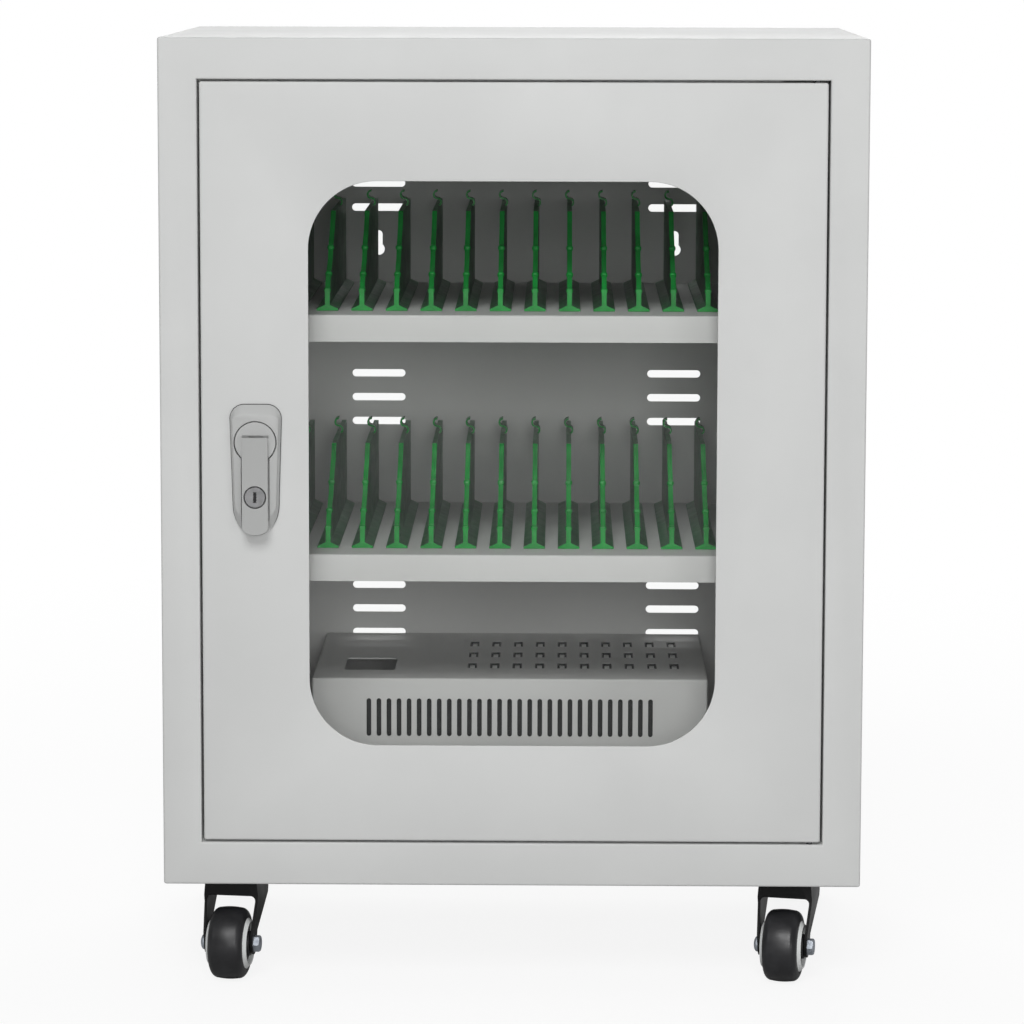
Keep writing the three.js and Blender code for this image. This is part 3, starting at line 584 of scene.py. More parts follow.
# Near-black sheet behind the grille: painted shade inside the power box
shade_sheet_plastic = moulded("black_insulating_film", (20, 20, 21), 0.5)
fork_paint = powder_coat("black_fork_paint", (13, 13, 14), 0.32, coat=0.0, gleam=0.3)
tyre_rubber = rubber("black_tyre_rubber", (34, 34, 36), 0.38)
hub_plastic = moulded("grey_hub_plastic", (228, 230, 229), 0.45)
cap_plastic = moulded("black_hub_cap", (34, 34, 36), 0.5)


# Carcass
def carcass():
    gap = Vector((door_gap, 0, door_gap))
    rear_margin = Vector((rear_flange, 0, rear_flange))
    base_margin = Vector((base_flange, base_flange, 0))
    bm = boxed(shell_low, shell_high)
    bends = list(bm.edges)
    mouth = inset_at(bm, 1, front, door_low - gap, door_high + gap)
    rear = inset_at(bm, 1, shell_high.y, shell_low + rear_margin, shell_high - rear_margin)
    below = inset_at(bm, 2, base, shell_low + base_margin, shell_high - base_margin)
    rim = list(mouth.edges)
    drop_faces(bm, mouth, rear, below)
    extrude_rim(bm, rim, (0, return_depth, 0))
    round_edges(bm, bends, bend, bend_steps)
    round_edges(bm, [e for e in rim if e.is_valid], mouth_bend, bend_steps)
    bm = folded(bm)
    low, high = door_low - gap, door_high + gap
    back = front + return_depth
    for z0, z1 in ((low.z - sheet, low.z + stop_lip), (high.z - stop_lip, high.z + sheet)):
        box_between(bm, (low.x - sheet, back - sheet, z0), (high.x - stop_short, back, z1))
    return bm


piece("carcass", carcass(), steel, "steel", "cabinet_shell")


# Door
view_low = Vector((door_low.x + window_inset, front, door_low.z + window_end_inset))
view_high = Vector((door_high.x - window_inset, front, door_high.z - window_end_inset))


def window_plug(bm):
    """What the window takes out of the door's face, leaving a half-round cut edge."""
    nose = sheet / 2
    waist = [(half_turn * step / nose_steps) for step in range(nose_steps + 1)]
    rings = [(nose * (1 - math.sin(a)), front + nose * (1 - math.cos(a))) for a in waist]
    rings = [(nose, front - overrun), *rings, (nose, front + sheet + overrun)]
    stack(bm, [
        [frontal(u, v, y) for u, v in rounded_rectangle(
            view_low.x - grow, view_high.x + grow, view_low.z - grow, view_high.z + grow,
            window_radius + grow, window_steps,
        )] for grow, y in rings
    ])


lock_centre = Vector(joints["handle_turn"]["pos_m"])


def door_pan():
    bm = boxed(door_low, door_high)
    bends = list(bm.edges)
    margin = Vector((door_lip, 0, door_lip))
    drop_faces(bm, inset_at(bm, 1, door_high.y, door_low + margin, door_high - margin))
    round_edges(bm, bends, bend, bend_steps)
    bm = folded(bm)
    holes = bmesh.new()
    window_plug(holes)
    hole = circle(lock_centre.x, lock_centre.z, spindle_hole, plain_steps)
    prism(holes, hole, frontal, front - overrun, front + sheet + overrun)
    return combined(bm, holes)


piece("door_pan", door_pan(), steel, "steel", "door_panel", body="door")


# Back panel
def keyhole(x, z):
    half_angle = math.acos(keyhole_neck / keyhole_radius)
    return (
        arc(x, z, keyhole_radius, half_turn - half_angle, full_turn + half_angle, plain_steps)
        + arc(x, z + keyhole_rise, keyhole_neck, 0, half_turn, small_steps)
    )


def back_panel():
    low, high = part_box("back_panel")
    bm = boxed(low, high)
    facing = face_at(bm, 1, low.y)
    below = face_at(bm, 2, low.z)
    outer = face_at(bm, 1, high.y)
    bends = [e for e in outer.edges if e not in below.edges[:]]
    drop_faces(bm, facing, below)
    round_edges(bm, bends, bend, bend_steps)
    bm = folded(bm)
    holes = bmesh.new()
    near = high.y - overrun
    far = high.y + overrun
    for x in vent_columns:
        for middle in vent_groups:
            for row in (-1, 0, 1):
                z = base + middle + row * vent_pitch
                prism(holes, slotted(x, z, vent_length, vent_width, small_steps), frontal, near, far)
        prism(holes, keyhole(x, base + keyhole_height), frontal, near, far)
    x, z = inlet_middle.x, inlet_middle.z
    box_between(
        holes, (x - inlet_hole_half_width, near, z - inlet_hole_half_height),
        (x + inlet_hole_half_width, far, z + inlet_hole_half_height),
    )
    side_room = high.y - sheet * 2
    for x0, x1 in ((low.x - overrun, low.x + bend * 2), (high.x - bend * 2, high.x + overrun)):
        box_between(holes, (x0, low.y - overrun, low.z - overrun), (x1, side_room, low.z + back_foot))
    return combined(bm, holes)


piece("back_panel_vented", back_panel(), panel, "panel", "back_panel")


# Shelves
for level_name in ("upper", "lower"):
    node = f"shelf_{level_name}"
    low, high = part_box(node)
    piece(f"shelf_tray_{level_name}", tray(low, high, (2, low.z)), panel, "panel", node)


# Power box
cover_low, cover_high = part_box("power_box_cover")
cover_low = cover_low + Vector((box_foot, 0, 0))
cover_high = cover_high - Vector((box_foot, 0, 0))
port_places = [
    (cover_high.x - port_inset - column * port_pitch, cover_high.y - port_rear - row * port_row_pitch)
    for column in range(port_columns) for row in range(port_rows)
]


def power_box():
    bm = tray(cover_low, cover_high, (2, cover_low.z), (1, cover_high.y))
    holes = bmesh.new()
    middle = (cover_low.x + cover_high.x) / 2
    for index in range(grille_count):
        x = middle + (index - (grille_count - 1) / 2) * grille_pitch
        outline = slotted(x, base + grille_middle, grille_length, grille_width, small_steps // 2, quarter)
        prism(holes, outline, frontal, cover_low.y - overrun, cover_low.y + overrun)
    top = (cover_high.z - overrun, cover_high.z + overrun)
    for x, y in port_places:
        prism(holes, rounded_about(x, y, port_width / 2, port_depth / 2, port_corner, edge_steps), level, *top)
    left = cover_low.x + cutout_inset
    near = cover_low.y + cutout_front
    outline = rounded_rectangle(
        left, left + cutout_width, near, near + cutout_depth, cutout_corner, small_steps // 2,
    )
    prism(holes, outline, level, *top)
    bm = combined(bm, holes)
    left_foot = (cover_low.x - box_foot, cover_low.x + sheet)
    right_foot = (cover_high.x - sheet, cover_high.x + box_foot)
    for x0, x1 in (left_foot, right_foot):
        box_between(bm, (x0, cover_low.y + bend, cover_low.z), (x1, cover_high.y, cover_low.z + sheet))
    return bm


piece("power_box", power_box(), panel, "panel", "power_box_cover")


# Pan-head screws
screw_radius = 0.0038
screw_height = 0.0022
screw_cross = 0.0009
screw_cross_reach = 0.0021
screw_cross_depth = 0.0012


def screws(places, towards):
    """Cross-recessed screws at places, their heads facing one way."""
    bm = bmesh.new()
    turn = Vector((0, 0, 1)).rotation_difference(Vector(towards)).to_matrix().to_4x4()
    matrices = [Matrix.Translation(spot) @ turn for spot in places]
    head = [(0, 0), *dome(screw_radius, screw_height, bend_steps)]
    joined(bm, *(turned(head, plain_steps, matrix) for matrix in matrices))
    recess_low = screw_height - screw_cross_depth
    for long, short in ((screw_cross_reach, screw_cross), (screw_cross, screw_cross_reach)):
        slots = bmesh.new()
        for matrix in matrices:
            verts = box_between(slots, (-long, -short, recess_low), (long, short, screw_height + overrun))
            bmesh.ops.transform(slots, matrix=matrix, verts=verts)
        bm = combined(bm, slots)
    return bm


foot_screw_shares = (0.12, 0.5, 0.88)
foot_screws = [
    (x, cover_low.y + share * (cover_high.y - cover_low.y), cover_low.z + sheet)
    for x in (cover_low.x - box_foot / 2, cover_high.x + box_foot / 2) for share in foot_screw_shares
]
piece("power_box_screws", screws(foot_screws, (0, 0, 1)), zinc, "pin")

flange_screw_shares = (0.06, 0.35, 0.65, 0.94)
flange_screws = [
    (x, shell_high.y, base + share * (shell_high.z - base))
    for x in (shell_low.x + rear_flange / 2, shell_high.x - rear_flange / 2) for share in flange_screw_shares
]
piece("rear_screws", screws(flange_screws, (0, 1, 0)), zinc, "pin")


# Sockets on their board
board_top = cover_high.z - sheet - socket_gap - socket_height


def socket_board():
    xs, ys = zip(*port_places)
    return boxed(
        (min(xs) - board_margin, min(ys) - board_margin, board_top - board_thickness),
        (max(xs) + board_margin, max(ys) + board_margin, board_top),
    )


def socket_shells():
    """Dark collars that line the port holes and stand on the board."""
    bm = bmesh.new()
    top = cover_high.z - socket_sunk
    half_width = port_width / 2 - socket_clearance
    half_depth = port_depth / 2 - socket_clearance
    for x, y in port_places:
        outer = rounded_about(x, y, half_width, half_depth, socket_corner, edge_steps)
        inner = rounded_about(
            x, y, half_width - socket_wall, half_depth - socket_wall, socket_inner_corner, edge_steps,
        )
        rings = ((outer, board_top), (outer, top), (inner, top), (inner, board_top + socket_floor))
        stack(bm, [[level(u, v, z) for u, v in outline] for outline, z in rings])
    return bm


def socket_tongues():
    bm = bmesh.new()
    top = cover_high.z - tongue_sunk
    reach = Vector((tongue_width / 2, tongue_depth / 2, 0))
    for x, y in port_places:
        low = Vector((x, y - tongue_forward, board_top + socket_floor))
        box_between(bm, low - reach, Vector((low.x, low.y, top)) + reach)
    soften(bm, tongue_round, edge_steps)
    return bm


def grille_shade_sheet():
    """A bent black sheet that stands behind the grille: painted shade, seen through the slots."""
    near = cover_low.y + film_back
    low = base + film_low
    high = cover_high.z - sheet - film_thickness
    return solid([
        (near, low), (near + film_thickness, low), (near + film_thickness, high - film_thickness),
        (near + film_lip, high - film_thickness), (near + film_lip, high), (near, high),
    ], lateral, cover_low.x + film_inset, cover_high.x - film_inset)


piece("socket_laminate", socket_board(), circuit, "board", "socket_board")
piece("socket_shells", socket_shells(), black_plastic, "inlet")
piece("socket_tongues", socket_tongues(), white_plastic, "hub")
# The black sheet behind the grille is painted shade for the dim inside of the box
piece("grille_shade_sheet", grille_shade_sheet(), shade_sheet_plastic, "inlet")


# Floor and swivels
caster_names = ("front_left", "front_right", "rear_left", "rear_right")


def floor_tray():
    low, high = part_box("floor_panel")
    top = floor_under + floor_upstand
    return tray((low.x, low.y, floor_under), (high.x, high.y, top), (2, top))


def swivel_races():
    bm = bmesh.new()
    head_top = floor_under - race_height - swivel_gap - fork_plate - swivel_gap
    head_low = head_top - stud_head_height
    race_low = floor_under - race_height
    edge = race_edge
    profile = [
        (0, floor_under), (race_radius, floor_under), (race_radius, race_low + edge),
        (race_radius - edge, race_low), (stud_radius, race_low), (stud_radius, head_top),
        (stud_head_radius - edge, head_top), (stud_head_radius, head_top - edge),
        (stud_head_radius, head_low + edge), (stud_head_radius - edge * 2, head_low), (0, head_low),
    ]
    for name in caster_names:
        x, y, z = joints[f"swivel_{name}"]["pos_m"]
        joined(bm, turned(profile, fine_steps, Matrix.Translation((x, y, 0))))
    return bm


piece("floor_tray", floor_tray(), panel, "panel", "floor_panel")
piece("swivel_races", swivel_races(), zinc, "pin")


# Phone dividers, in sizes about each divider's own front and shelf
divider_height = 0.080
web_thickness = 0.0042
foot_width = 0.0186
foot_edge = 0.0016
foot_rise = 0.005
nose_height = 0.019
nose_depth = 0.005
slope_run = 0.096
slope_shares = ((0.0, 0.0), (0.1, 0.14), (0.2, 0.2), (0.45, 0.36), (0.55, 0.54), (0.85, 0.78), (1.0, 1.0))
knob_steps = (0, 2, 4)
knob_radius = 0.003
knob_width = 0.0062
knob_round = 0.0022
hook_radius = 0.0042
hook_band = 0.0016
hook_length = 0.014
hook_setback = 0.083
plastic_round = 0.0005
# How far a face must look to the front to take the painted lit green instead of the painted shade green
painted_lit_facing = -0.25


def slope_points():
    rise = divider_height - nose_height
    return [(nose_depth + run * slope_run, nose_height + share * rise) for run, share in slope_shares]


def cable_hook(bm, length):
    inner = hook_radius - hook_band
    low = divider_height + inner
    high = low + hook_radius + inner
    outline = (
        arc(0, low, hook_radius, -quarter, quarter, small_steps)
        + arc(0, high, inner, quarter * 3, quarter, small_steps)
        + arc(0, high, hook_radius, quarter, quarter * 3, small_steps)
        + arc(0, low, inner, quarter, -quarter, small_steps)
    )
    rear = length - hook_setback
    prism(bm, outline, frontal, rear - hook_length, rear)


def divider(length):
    half_web = web_thickness / 2
    half_foot = foot_width / 2
    half_outline = [(half_foot, 0), (half_foot, foot_edge), (half_web, foot_rise)]
    foot = solid(both_sides(half_outline), frontal, 0, length)
    soften(foot, plastic_round, edge_steps)
    web = solid([
        (seat_gap, foot_edge), (length - seat_gap, foot_edge), (length - seat_gap, divider_height),
        *reversed(slope_points()), (seat_gap, nose_height),
    ], lateral, -half_web, half_web)
    soften(web, plastic_round, edge_steps)
    across = Matrix.Rotation(quarter, 4, "Y")
    round_end = dome(knob_radius, knob_round, bend_steps, knob_width / 2 - knob_round)
    knob = mirrored(round_end) + round_end
    for step in knob_steps:
        y, z = slope_points()[step]
        joined(web, turned(knob, small_steps, Matrix.Translation((0, y, z - knob_radius / 2)) @ across))
    cable_hook(web, length)
    return joined(web, foot)


divider_nodes = sorted(name for name in frame["nodes"] if name.startswith("divider_"))
node_low, node_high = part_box(divider_nodes[0])
one_divider = divider(node_high.y - node_low.y)
for node in divider_nodes:
    low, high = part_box(node)
    copy = one_divider.copy()
    bmesh.ops.translate(copy, vec=((low.x + high.x) / 2, low.y, low.z), verts=copy.verts)
    made = piece(node.replace("divider_", "phone_divider_"), copy, painted_shade_green, "green", node)
    # Faces that look to the front get the painted lit green, all others the painted shade green
    made.data.materials.append(green)
    for polygon in made.data.polygons:
        polygon.material_index = int(polygon.normal.y < painted_lit_facing)
one_divider.free()


# Mains inlet in the back panel
inlet_depth = 0.017
inlet_half_width = 0.0117
inlet_half_height = 0.0082
inlet_corner = 0.0035
inlet_flange = 0.0025
inlet_flange_corner = 0.005
blade_half_width = 0.001
blade_half_height = 0.002
blade_round = plastic_round / 2
blade_places = ((-0.007, -0.002), (0, 0.002), (0.007, -0.002))
inlet_screw_inset = 0.005


def inlet():
    low, high, middle = inlet_low, inlet_high, inlet_middle
    flange = rounded_rectangle(low.x, high.x, low.z, high.z, inlet_flange_corner, small_steps)

    def outline(grow):
        half_width, half_height = inlet_half_width + grow, inlet_half_height + grow
        return rounded_about(middle.x, middle.z, half_width, half_height, inlet_corner + grow, small_steps)

    bm = solid(flange, frontal, high.y - inlet_flange, high.y)
    bm = combined(bm, solid(outline(sheet), frontal, low.y, high.y - sheet), "UNION")
    return combined(bm, solid(outline(0), frontal, high.y - inlet_depth, high.y + overrun))


def inlet_blades():
    bm = bmesh.new()
    for along, up in blade_places:
        x, z = inlet_middle.x + along, inlet_middle.z + up
        box_between(
            bm, (x - blade_half_width, inlet_high.y - inlet_depth - sheet, z - blade_half_height),
            (x + blade_half_width, inlet_high.y - inlet_flange, z + blade_half_height),
        )
    soften(bm, blade_round, edge_steps)
    return bm


piece("mains_inlet_body", inlet(), black_plastic, "inlet", "mains_inlet")
piece("mains_inlet_blades", inlet_blades(), zinc, "pin")
inlet_screws = [
    (x, inlet_high.y - seat_gap, inlet_middle.z)
    for x in (inlet_low.x + inlet_screw_inset, inlet_high.x - inlet_screw_inset)
]
piece("mains_inlet_screws", screws(inlet_screws, (0, 1, 0)), zinc, "pin")


# Swing-handle lock, drawn about the disc's centre on the door's face
housing_proud = 0.009
housing_wall = 0.0028
housing_top_half = 0.0217
housing_low_half = 0.0194
housing_shoulder = 0.0196
housing_corner = 0.012
housing_tail = 0.054
housing_tail_arch = 0.027
slope_side = 0.0024
slope_top = 0.0078
slope_tail = 0.0135
bore_radius = 0.01835
lock_clear = housing_proud + overrun
gasket_proud = 0.0005
gasket_thickness = 0.0012
disc_radius = 0.0174
spindle_radius = 0.006
spindle_reach = 0.026
lever_width = 0.022
lever_length = 0.083
lever_top = 0.0046
lever_thickness = 0.006
lever_gap = 0.0004
lever_end_rise = 0.006
lever_round = 0.0011
lever_round_steps = 3
lever_groove = 0.0012
groove_depth = 0.0062
groove_top = 0.004
groove_low = 0.082
lug_pivot = lever_top - 0.0055
lug_half = 0.0025
lug_width = 0.0112
lug_proud = 0.0052
lever_lift = math.radians(30)
heel_clear = housing_proud - lug_proud + lever_gap
heel_out = (heel_clear + (lever_top - lug_pivot) * math.sin(lever_lift)) / math.cos(lever_lift)
heel_start = heel_clear * (math.cos(lever_lift) - 1) / math.sin(lever_lift)
heel_overrun = 0.4
disc_slot_below = 0.0035
disc_slot_above = 0.0063
disc_slot_floor = 0.0025
seam_height = 0.0014
seam_depth = 0.0036
cylinder_drop = 0.0462
cylinder_radius = 0.009
cylinder_hole = 0.0097
key_slot_width = 0.0034
key_slot_height = 0.009
key_slot_depth = 0.005
key_teeth = 4
key_tooth_share = 0.45


def lock_plane(u, v, w):
    """A point from the lock's own outline, w in front of the door's face."""
    return Vector((lock_centre.x + u, front - w, lock_centre.z + v))


def lock_side(w, v, u):
    """The same point for an outline drawn in side view."""
    return lock_plane(u, v, w)


def housing_outline(side, top, tail):
    """The casting's outline, drawn in by side at the flanks, top at the head and tail at the foot."""
    low_half = housing_low_half - side
    corner = housing_corner - side
    centre = housing_top_half - housing_corner
    squeeze = (housing_corner - top) / corner
    tail_squeeze = (housing_tail_arch - tail) / low_half
    return (
        arc(0, -housing_tail, low_half, half_turn, full_turn, plain_steps, tail_squeeze)
        + arc(centre, housing_shoulder, corner, 0, quarter, small_steps, squeeze)
        + arc(-centre, housing_shoulder, corner, quarter, half_turn, small_steps, squeeze)
    )


def lock_housing():
    bm = bmesh.new()
    lip = plastic_round
    levels = (
        (0, 0, 0, 0), (0, 0, 0, housing_wall - lip), (lip, lip, lip, housing_wall),
        (slope_side - lip, slope_top - lip, slope_tail, housing_proud - lip),
        (slope_side, slope_top, slope_tail + lip, housing_proud - lip / 2),
        (slope_side + lip, slope_top + lip, slope_tail + lip * 2, housing_proud),
    )
    stack(bm, [
        [lock_plane(u, v, w) for u, v in housing_outline(side, top, tail)] for side, top, tail, w in levels
    ])
    bm = combined(bm, solid(circle(0, 0, bore_radius, fine_steps), lock_plane, -overrun, lock_clear))
    half = lever_width / 2 + lever_groove
    groove = rectangle(-half, half, -groove_low, -groove_top)
    return combined(bm, solid(groove, lock_plane, housing_proud - groove_depth, lock_clear))


def lock_gasket():
    """The dark gasket that the casting stands on, a little wider than the casting."""
    bm = solid(housing_outline(-gasket_proud, -gasket_proud, gasket_proud), lock_plane, 0, gasket_thickness)
    return combined(bm, solid(circle(0, 0, bore_radius, fine_steps), lock_plane, -overrun, overrun))


def turned_disc(radius, back, face, lip):
    return [(0, back), (radius, back), (radius, face - lip), (radius - lip, face), (0, face)]


def lock_matrix(u, v):
    """Puts a turned body's axis at a point of the lock's outline, pointing out of the door's face."""
    return Matrix.Translation(lock_plane(u, v, 0)) @ Matrix.Rotation(quarter, 4, "X")


def lock_disc():
    middle = lock_matrix(0, 0)
    disc = turned_disc(disc_radius, seat_gap, housing_proud - seat_gap, plastic_round)
    spindle = turned_disc(spindle_radius, -spindle_reach, seat_gap + sheet, plastic_round)
    bm = combined(turned(disc, fine_steps, middle), turned(spindle, plain_steps, middle), "UNION")
    half = lug_width / 2 + seat_gap
    slot = rectangle(-half, half, lug_pivot - disc_slot_below, lug_pivot + disc_slot_above)
    bm = combined(bm, solid(slot, lock_plane, disc_slot_floor, lock_clear))
    half = lever_width / 2 + lever_gap
    seam = rectangle(-half, half, lever_top - seam_height, lever_top + seam_height)
    return combined(bm, solid(seam, lock_plane, housing_proud - seam_depth, lock_clear))


def lever():
    back = housing_proud + lever_gap
    face = back + lever_thickness
    half = lever_width / 2
    foot = lever_top - lever_length + lever_end_rise
    end = arc(0, foot, half, half_turn, full_turn, plain_steps, lever_end_rise / half)
    bm = solid([*end, (half, lever_top), (-half, lever_top)], lock_plane, back, face)
    soften(bm, lever_round, lever_round_steps)
    heel_low = Vector((back, lug_pivot + heel_start))
    heel_high = Vector((lug_proud + heel_out, lever_top))
    beyond = (heel_high - heel_low) * heel_overrun
    low, high = heel_low - beyond, heel_high + beyond
    heel = [low, high, (low.x, high.y)]
    bm = combined(bm, solid(heel, lock_side, -half - overrun, half + overrun))
    inner = arc(lug_proud, lug_pivot, lug_half, quarter, quarter * 3, bend_steps)
    lug = [*inner, (back + lug_half, lug_pivot - lug_half), (back + lug_half, lug_pivot + lug_half)]
    bm = combined(bm, solid(lug, lock_side, -lug_width / 2, lug_width / 2), "UNION")
    hole = circle(0, -cylinder_drop, cylinder_hole, fine_steps)
    return combined(bm, solid(hole, lock_plane, back - overrun, face + overrun))


def key_cylinder():
    back = housing_proud + lever_gap
    face = back + lever_thickness - seat_gap
    profile = turned_disc(cylinder_radius, back, face, plastic_round)
    bm = turned(profile, fine_steps, lock_matrix(0, -cylinder_drop))
    half = key_slot_width / 2
    count = key_teeth * 2
    step = key_slot_height / count
    low = -cylinder_drop - key_slot_height / 2
    teeth = [(half * (1 - index % 2 * key_tooth_share), low + index * step) for index in range(count + 1)]
    return combined(bm, solid(both_sides(teeth), lock_plane, face - key_slot_depth, face + overrun))


piece("lock_gasket", lock_gasket(), black_plastic, "tyre", body="door")
piece("lock_casting", lock_housing(), lock_paint, "lock", "lock_housing", body="door")
piece("lock_turning_disc", lock_disc(), lock_paint, "lock", "lock_disc", body="lock_rotor")
piece("swing_lever", lever(), lever_paint, "lock", "lock_lever", body="lever")
barrel = piece("key_barrel", key_cylinder(), brushed, "cylinder", "key_cylinder", body="key")
# The faces deep inside the key slot take black plastic: painted shade in the keyway
barrel.data.materials.append(black_plastic)
for polygon in barrel.data.polygons:
    across = abs(polygon.center.x - lock_centre.x)
    along = abs(polygon.center.z - lock_centre.z + cylinder_drop)
    sunk = polygon.center.y - front + housing_proud + lever_gap + lever_thickness
    inside = across < key_slot_width / 2 + close and along < key_slot_height / 2 + close
    if inside and sunk > plastic_round * 2:
        polygon.material_index = 1


# Casters, each about its swivel axis on the ground with the wheel towards -Y
wheel_radius = 0.0315
caster_trail = 0.025
fork_top = floor_under - race_height - swivel_gap
fork_width = 0.043
fork_top_width = 0.048
fork_top_depth = 0.044
fork_skirt = 0.0155
fork_shoulder = 0.0670
fork_neck = 0.0415
fork_end_radius = 0.0095
fork_corner = 0.004
fork_round = 0.0007
stud_hole = 0.0068
axle_radius = 0.004
bolt_radius = 0.0068
bolt_head = 0.0046
bolt_rim = bolt_head * 0.35
nut_sides = 6
nut_across = 0.013
nut_height = 0.0052
tread_width = 0.0305
tyre_inner = 0.0224
tread_shoulder = 0.0076
tread_roll = 0.0066
tread_crown = 0.0007
tread_steps = 6
rim_proud = 0.0028
rim_cone = 0.0026
rim_wall = 0.0042
rim_lip = rim_wall / 3
hub_web = 0.009
boss_radius = 0.009
boss_gap = 0.0005
cap_thickness = 0.0016
cap_sunk = 0.001


def caster_matrix(name):
    """Puts a caster that was drawn about its swivel axis in its place and turn."""
    x, y, z = joints[f"swivel_{name}"]["pos_m"]
    wheel_x, wheel_y, wheel_z = joints[f"roll_{name}"]["pos_m"]
    turn = math.atan2(wheel_x - x, y - wheel_y)
    return Matrix.Translation((x, y, 0)) @ Matrix.Rotation(turn, 4, "Z")


def axle_matrix(across=1):
    """Puts a turned body's axis along the axle."""
    return Matrix.Translation((0, -caster_trail, wheel_radius)) @ Matrix.Rotation(across * quarter, 4, "Y")


def fork():
    reach = fork_top_depth / 2
    half = fork_width / 2
    top_half = fork_top_width / 2
    skirt_low = fork_top - fork_skirt
    end = wheel_radius - fork_end_radius
    cheeks = (
        arc(-caster_trail, wheel_radius, fork_end_radius, half_turn, full_turn, plain_steps)
        + [(fork_end_radius - caster_trail, fork_neck), (reach, fork_shoulder), (reach, fork_top),
           (-reach, fork_top), (-reach, fork_shoulder), (-caster_trail - fork_end_radius, fork_neck)]
    )
    outside = both_sides([
        (half, end - overrun), (half, wheel_radius), (top_half, skirt_low),
        (top_half - fork_plate / 2, fork_top),
    ])
    inner = half - fork_plate
    corner_out, corner_up = top_half - fork_plate - fork_corner, skirt_low - fork_corner
    room = both_sides([
        (inner, end - overrun * 2), (inner, wheel_radius),
        *arc(corner_out, corner_up, fork_corner, 0, quarter, small_steps // 2),
    ])
    far = caster_trail + reach
    bm = solid(cheeks, lateral, -top_half - overrun, top_half + overrun)
    bm = combined(bm, solid(outside, frontal, -far, far), "INTERSECT")
    bm = combined(bm, solid(room, frontal, -far - overrun, far + overrun))
    bm = combined(bm, boxed(
        (-top_half + fork_plate * 2, -reach + fork_plate, skirt_low - overrun),
        (top_half - fork_plate * 2, reach - fork_plate, fork_top - fork_plate),
    ))
    return combined(bm, solid(circle(0, 0, stud_hole, plain_steps), level, skirt_low, fork_top + overrun))


def axle_bolt():
    """The axle with a domed head at one cheek and a chamfered hexagon nut at the other."""
    half = fork_width / 2
    rod = [(0, -half), (axle_radius, -half), (axle_radius, half), (0, half)]
    crown = dome(bolt_radius, bolt_head - bolt_rim, small_steps, half + bolt_rim)
    head = [(0, half), (bolt_radius, half), *crown]
    corner = nut_across / math.sqrt(3)
    hexagon = circle(-caster_trail, wheel_radius, corner, nut_sides)
    edge = corner - nut_across / 2
    chamfer = turned([
        (0, half - overrun), (corner, half - overrun), (corner, half + nut_height - edge),
        (nut_across / 2, half + nut_height), (0, half + nut_height),
    ], fine_steps, axle_matrix())
    nut = combined(solid(hexagon, lateral, half, half + nut_height), chamfer, "INTERSECT")
    return joined(turned(rod, plain_steps, axle_matrix()), turned(head, plain_steps, axle_matrix(-1)), nut)


def tyre():
    """A tread that curves gently across and rolls over into both sides."""
    half = tread_width / 2
    edge = wheel_radius - tread_crown - tread_shoulder
    profile = [(tyre_inner, -half), (edge, -half)]
    for step in range(1, small_steps + 1):
        a = quarter * step / small_steps
        profile.append((edge + tread_shoulder * math.sin(a), -half + tread_roll * (1 - math.cos(a))))
    flat = half - tread_roll
    for step in range(1, tread_steps + 1):
        along = flat * (1 - step / tread_steps)
        profile.append((wheel_radius - tread_crown * (along / flat) ** 2, -along))
    return turned(profile + mirrored(profile[:-1]), fine_steps * 2, axle_matrix(), closed=True)


def hub():
    """The light rim with its coned lip on both sides, a dished web and a boss."""
    rim_radius = tyre_inner - seat_gap
    rim_half = tread_width / 2 + rim_proud
    boss_half = fork_width / 2 - fork_plate - boss_gap - cap_thickness
    bore = axle_radius + seat_gap
    lip = rim_radius - rim_cone
    soft = plastic_round
    side = [
        (rim_radius, tread_width / 2), (lip, rim_half - soft), (lip - soft, rim_half),
        (lip - rim_lip, rim_half - soft), (rim_radius - rim_wall - soft, hub_web / 2),
        (boss_radius, hub_web / 2 + soft), (boss_radius, boss_half - soft), (boss_radius - soft, boss_half),
        (bore, boss_half),
    ]
    return turned(mirrored(side) + side, fine_steps * 2, axle_matrix(), closed=True)


def hub_caps():
    """Dark dust caps that fill the dish inside the rim and cover the boss."""
    face = fork_width / 2 - fork_plate - boss_gap
    boss_half = face - cap_thickness + seat_gap
    soft = plastic_round
    outer = tyre_inner - seat_gap - rim_wall - soft * 2
    low = hub_web / 2 + seat_gap
    high = tread_width / 2 - cap_sunk
    bore = axle_radius + seat_gap
    collar = boss_radius + cap_thickness
    profile = [
        (boss_radius + seat_gap, low), (outer, low), (outer + soft, high - cap_thickness), (outer, high),
        (collar + soft, high + soft), (collar, face - soft), (collar - soft, face), (bore, face),
        (bore, boss_half), (boss_radius + seat_gap, boss_half),
    ]
    return joined(*(turned(profile, fine_steps, axle_matrix(side), closed=True) for side in (1, -1)))


shapes = {
    "caster_yoke": (fork(), fork_paint, "swivel", "fork", "caster_fork"),
    "axle_bolt": (axle_bolt(), zinc, "swivel", "pin", None),
    "caster_tread": (tyre(), tyre_rubber, "wheel", "tyre", "caster_tyre"),
    "caster_rim": (hub(), hub_plastic, "wheel", "hub", "caster_hub"),
    "dust_caps": (hub_caps(), cap_plastic, "wheel", "tyre", None),
}
for name in caster_names:
    for title, (shape, finish, body, slot, node) in shapes.items():
        copy = shape.copy()
        bmesh.ops.transform(copy, matrix=caster_matrix(name), verts=copy.verts)
        stands_for = [f"{node}_{name}"] if node else []
        made = piece(f"{title}_{name}", copy, finish, slot, *stands_for, body=f"{body}_{name}")
        if title == "caster_yoke":
            pressed = made.modifiers.new("pressed_edges", "BEVEL")
            put(pressed, width=fork_round, segments=edge_steps, limit_method="ANGLE", angle_limit=crease)
for shape in shapes.values():
    shape[0].free()

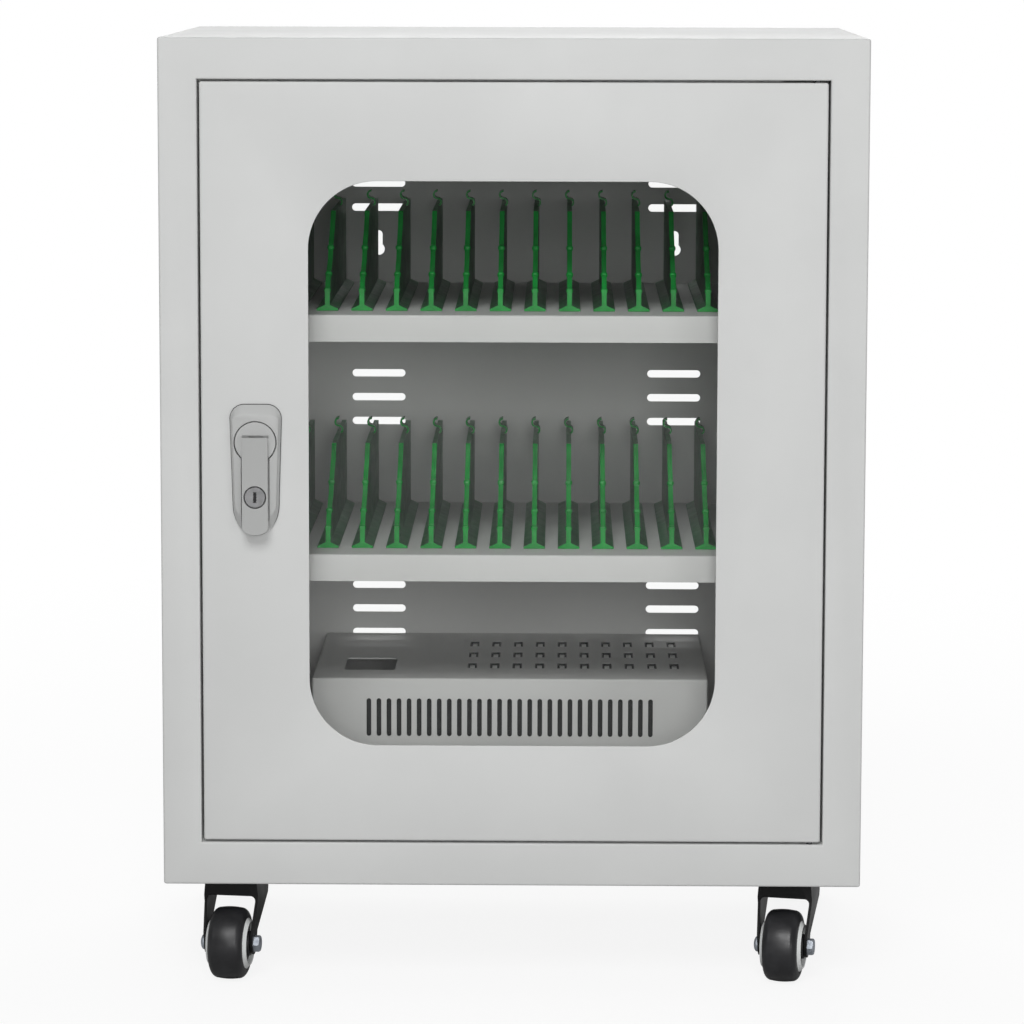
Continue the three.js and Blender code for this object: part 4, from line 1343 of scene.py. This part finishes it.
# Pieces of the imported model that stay, each in its own finish
kept_finishes = {
    "window_glass": pane, "glass_retainer": panel, "hinge_pin_top": dull_pin, "hinge_pin_bottom": dull_pin,
    "lock_cam": zinc, "lever_pin": zinc, "power_supply": aluminium,
}
for node, finish in kept_finishes.items():
    kept = frame["nodes"][node]
    kept.data.materials.clear()
    kept.data.materials.append(finish)


# Studio
floor_half = 12.0
floor_fill = 0.88
floor_roughness = 0.9
floor_seen = (0.95, 0.95, 0.95, 1.0)
floor_bounce = (0.5, 0.5, 0.5, 1.0)
floor_fade_start = 0.9
floor_fade_end = 2.2
world_level = 0.22
body_middle = (0, 0, 0.45)
body_low = (0, 0, 0.3)
body_top = (0.1, 0.1, 0.82)
lamps = {
    "front_box": ((-0.6, -5.1, 4.6), body_middle, 2.6, 2.6, 190.0),
    "low_box": ((0.2, -4.2, 1.15), body_middle, 1.2, 1.0, 40.0),
    "side_box": ((2.4, -3.4, 0.4), body_low, 1.2, 0.8, 12.0),
    "top_box": ((0.1, 2.6, 2.6), body_top, 2.4, 1.6, 60.0),
}


def studio_floor():
    bm = bmesh.new()
    bmesh.ops.create_grid(bm, x_segments=1, y_segments=1, size=floor_half)
    obj = as_object(bm, "studio_floor", open_skin=True)
    nodes = Nodes("studio_floor_white")
    seen = nodes.add("ShaderNodeLightPath", {}).outputs["Is Camera Ray"]
    tone = nodes.between(seen, floor_bounce, floor_seen)
    nodes.set(Base_Color=tone, Roughness=floor_roughness, Specular_IOR_Level=0.0)
    glow = nodes.add("ShaderNodeEmission", {})
    reach = nodes.add("ShaderNodeVectorMath", {0: nodes.coordinates}, operation="LENGTH")
    fill = nodes.spread(reach.outputs["Value"], floor_fill, 1.0, floor_fade_start, floor_fade_end)
    share = nodes.add("ShaderNodeMath", {0: seen, 1: fill}, operation="MULTIPLY")
    nodes.mixed(share.outputs["Value"], nodes.shader.outputs["BSDF"], glow.outputs["Emission"])
    obj.data.materials.append(nodes.material)
    obj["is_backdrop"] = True


def studio_world(strength):
    """Even pale light, and plain white where the camera looks past everything, also through clear plastic."""
    world = put(bpy.data.worlds.new("studio"), use_nodes=True)
    bpy.context.scene.world = world
    tree = world.node_tree
    path = add_node(tree, "ShaderNodeLightPath", {}).outputs
    rays = {0: path["Is Camera Ray"], 1: path["Is Transmission Ray"]}
    seen = add_node(tree, "ShaderNodeMath", rays, operation="MAXIMUM").outputs["Value"]
    brightness = add_node(tree, "ShaderNodeMapRange", {"Value": seen, "To Min": strength, "To Max": 1.0})
    feed(tree.nodes["Background"], {"Color": (1.0, 1.0, 1.0, 1.0), "Strength": brightness.outputs["Result"]})


def soft_box(name, place, aim, width, height, power):
    """A rectangular lamp, in metres and watts."""
    light = put(bpy.data.lights.new(name, "AREA"), shape="RECTANGLE", size=width, size_y=height, energy=power)
    turn = (Vector(aim) - Vector(place)).to_track_quat("-Z", "Y").to_euler()
    put(in_scene(name, light), location=place, rotation_euler=turn)


studio_floor()
studio_world(world_level)
for name, lamp in lamps.items():
    soft_box(name, *lamp)


# Camera at the photograph's viewpoint
camera_place = (0.0414, -3.68805, 0.9072)
camera_down = 0.1272
camera_yaw = 0.0120
camera_roll = 0.0024
camera_lens = 145.67
camera_shift = -0.05
sensor_width = 36.0

camera_data = put(
    bpy.data.cameras.new("camera"), sensor_width=sensor_width, lens=camera_lens, shift_y=camera_shift,
)
camera_turn = (
    Matrix.Rotation(camera_yaw, 4, "Z") @ Matrix.Rotation(quarter - camera_down, 4, "X")
    @ Matrix.Rotation(camera_roll, 4, "Z")
).to_euler()
camera = put(in_scene("camera", camera_data), location=camera_place, rotation_euler=camera_turn)
bpy.context.scene.camera = camera

bpy.context.scene.view_settings.view_transform = "Standard"

low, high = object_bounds()
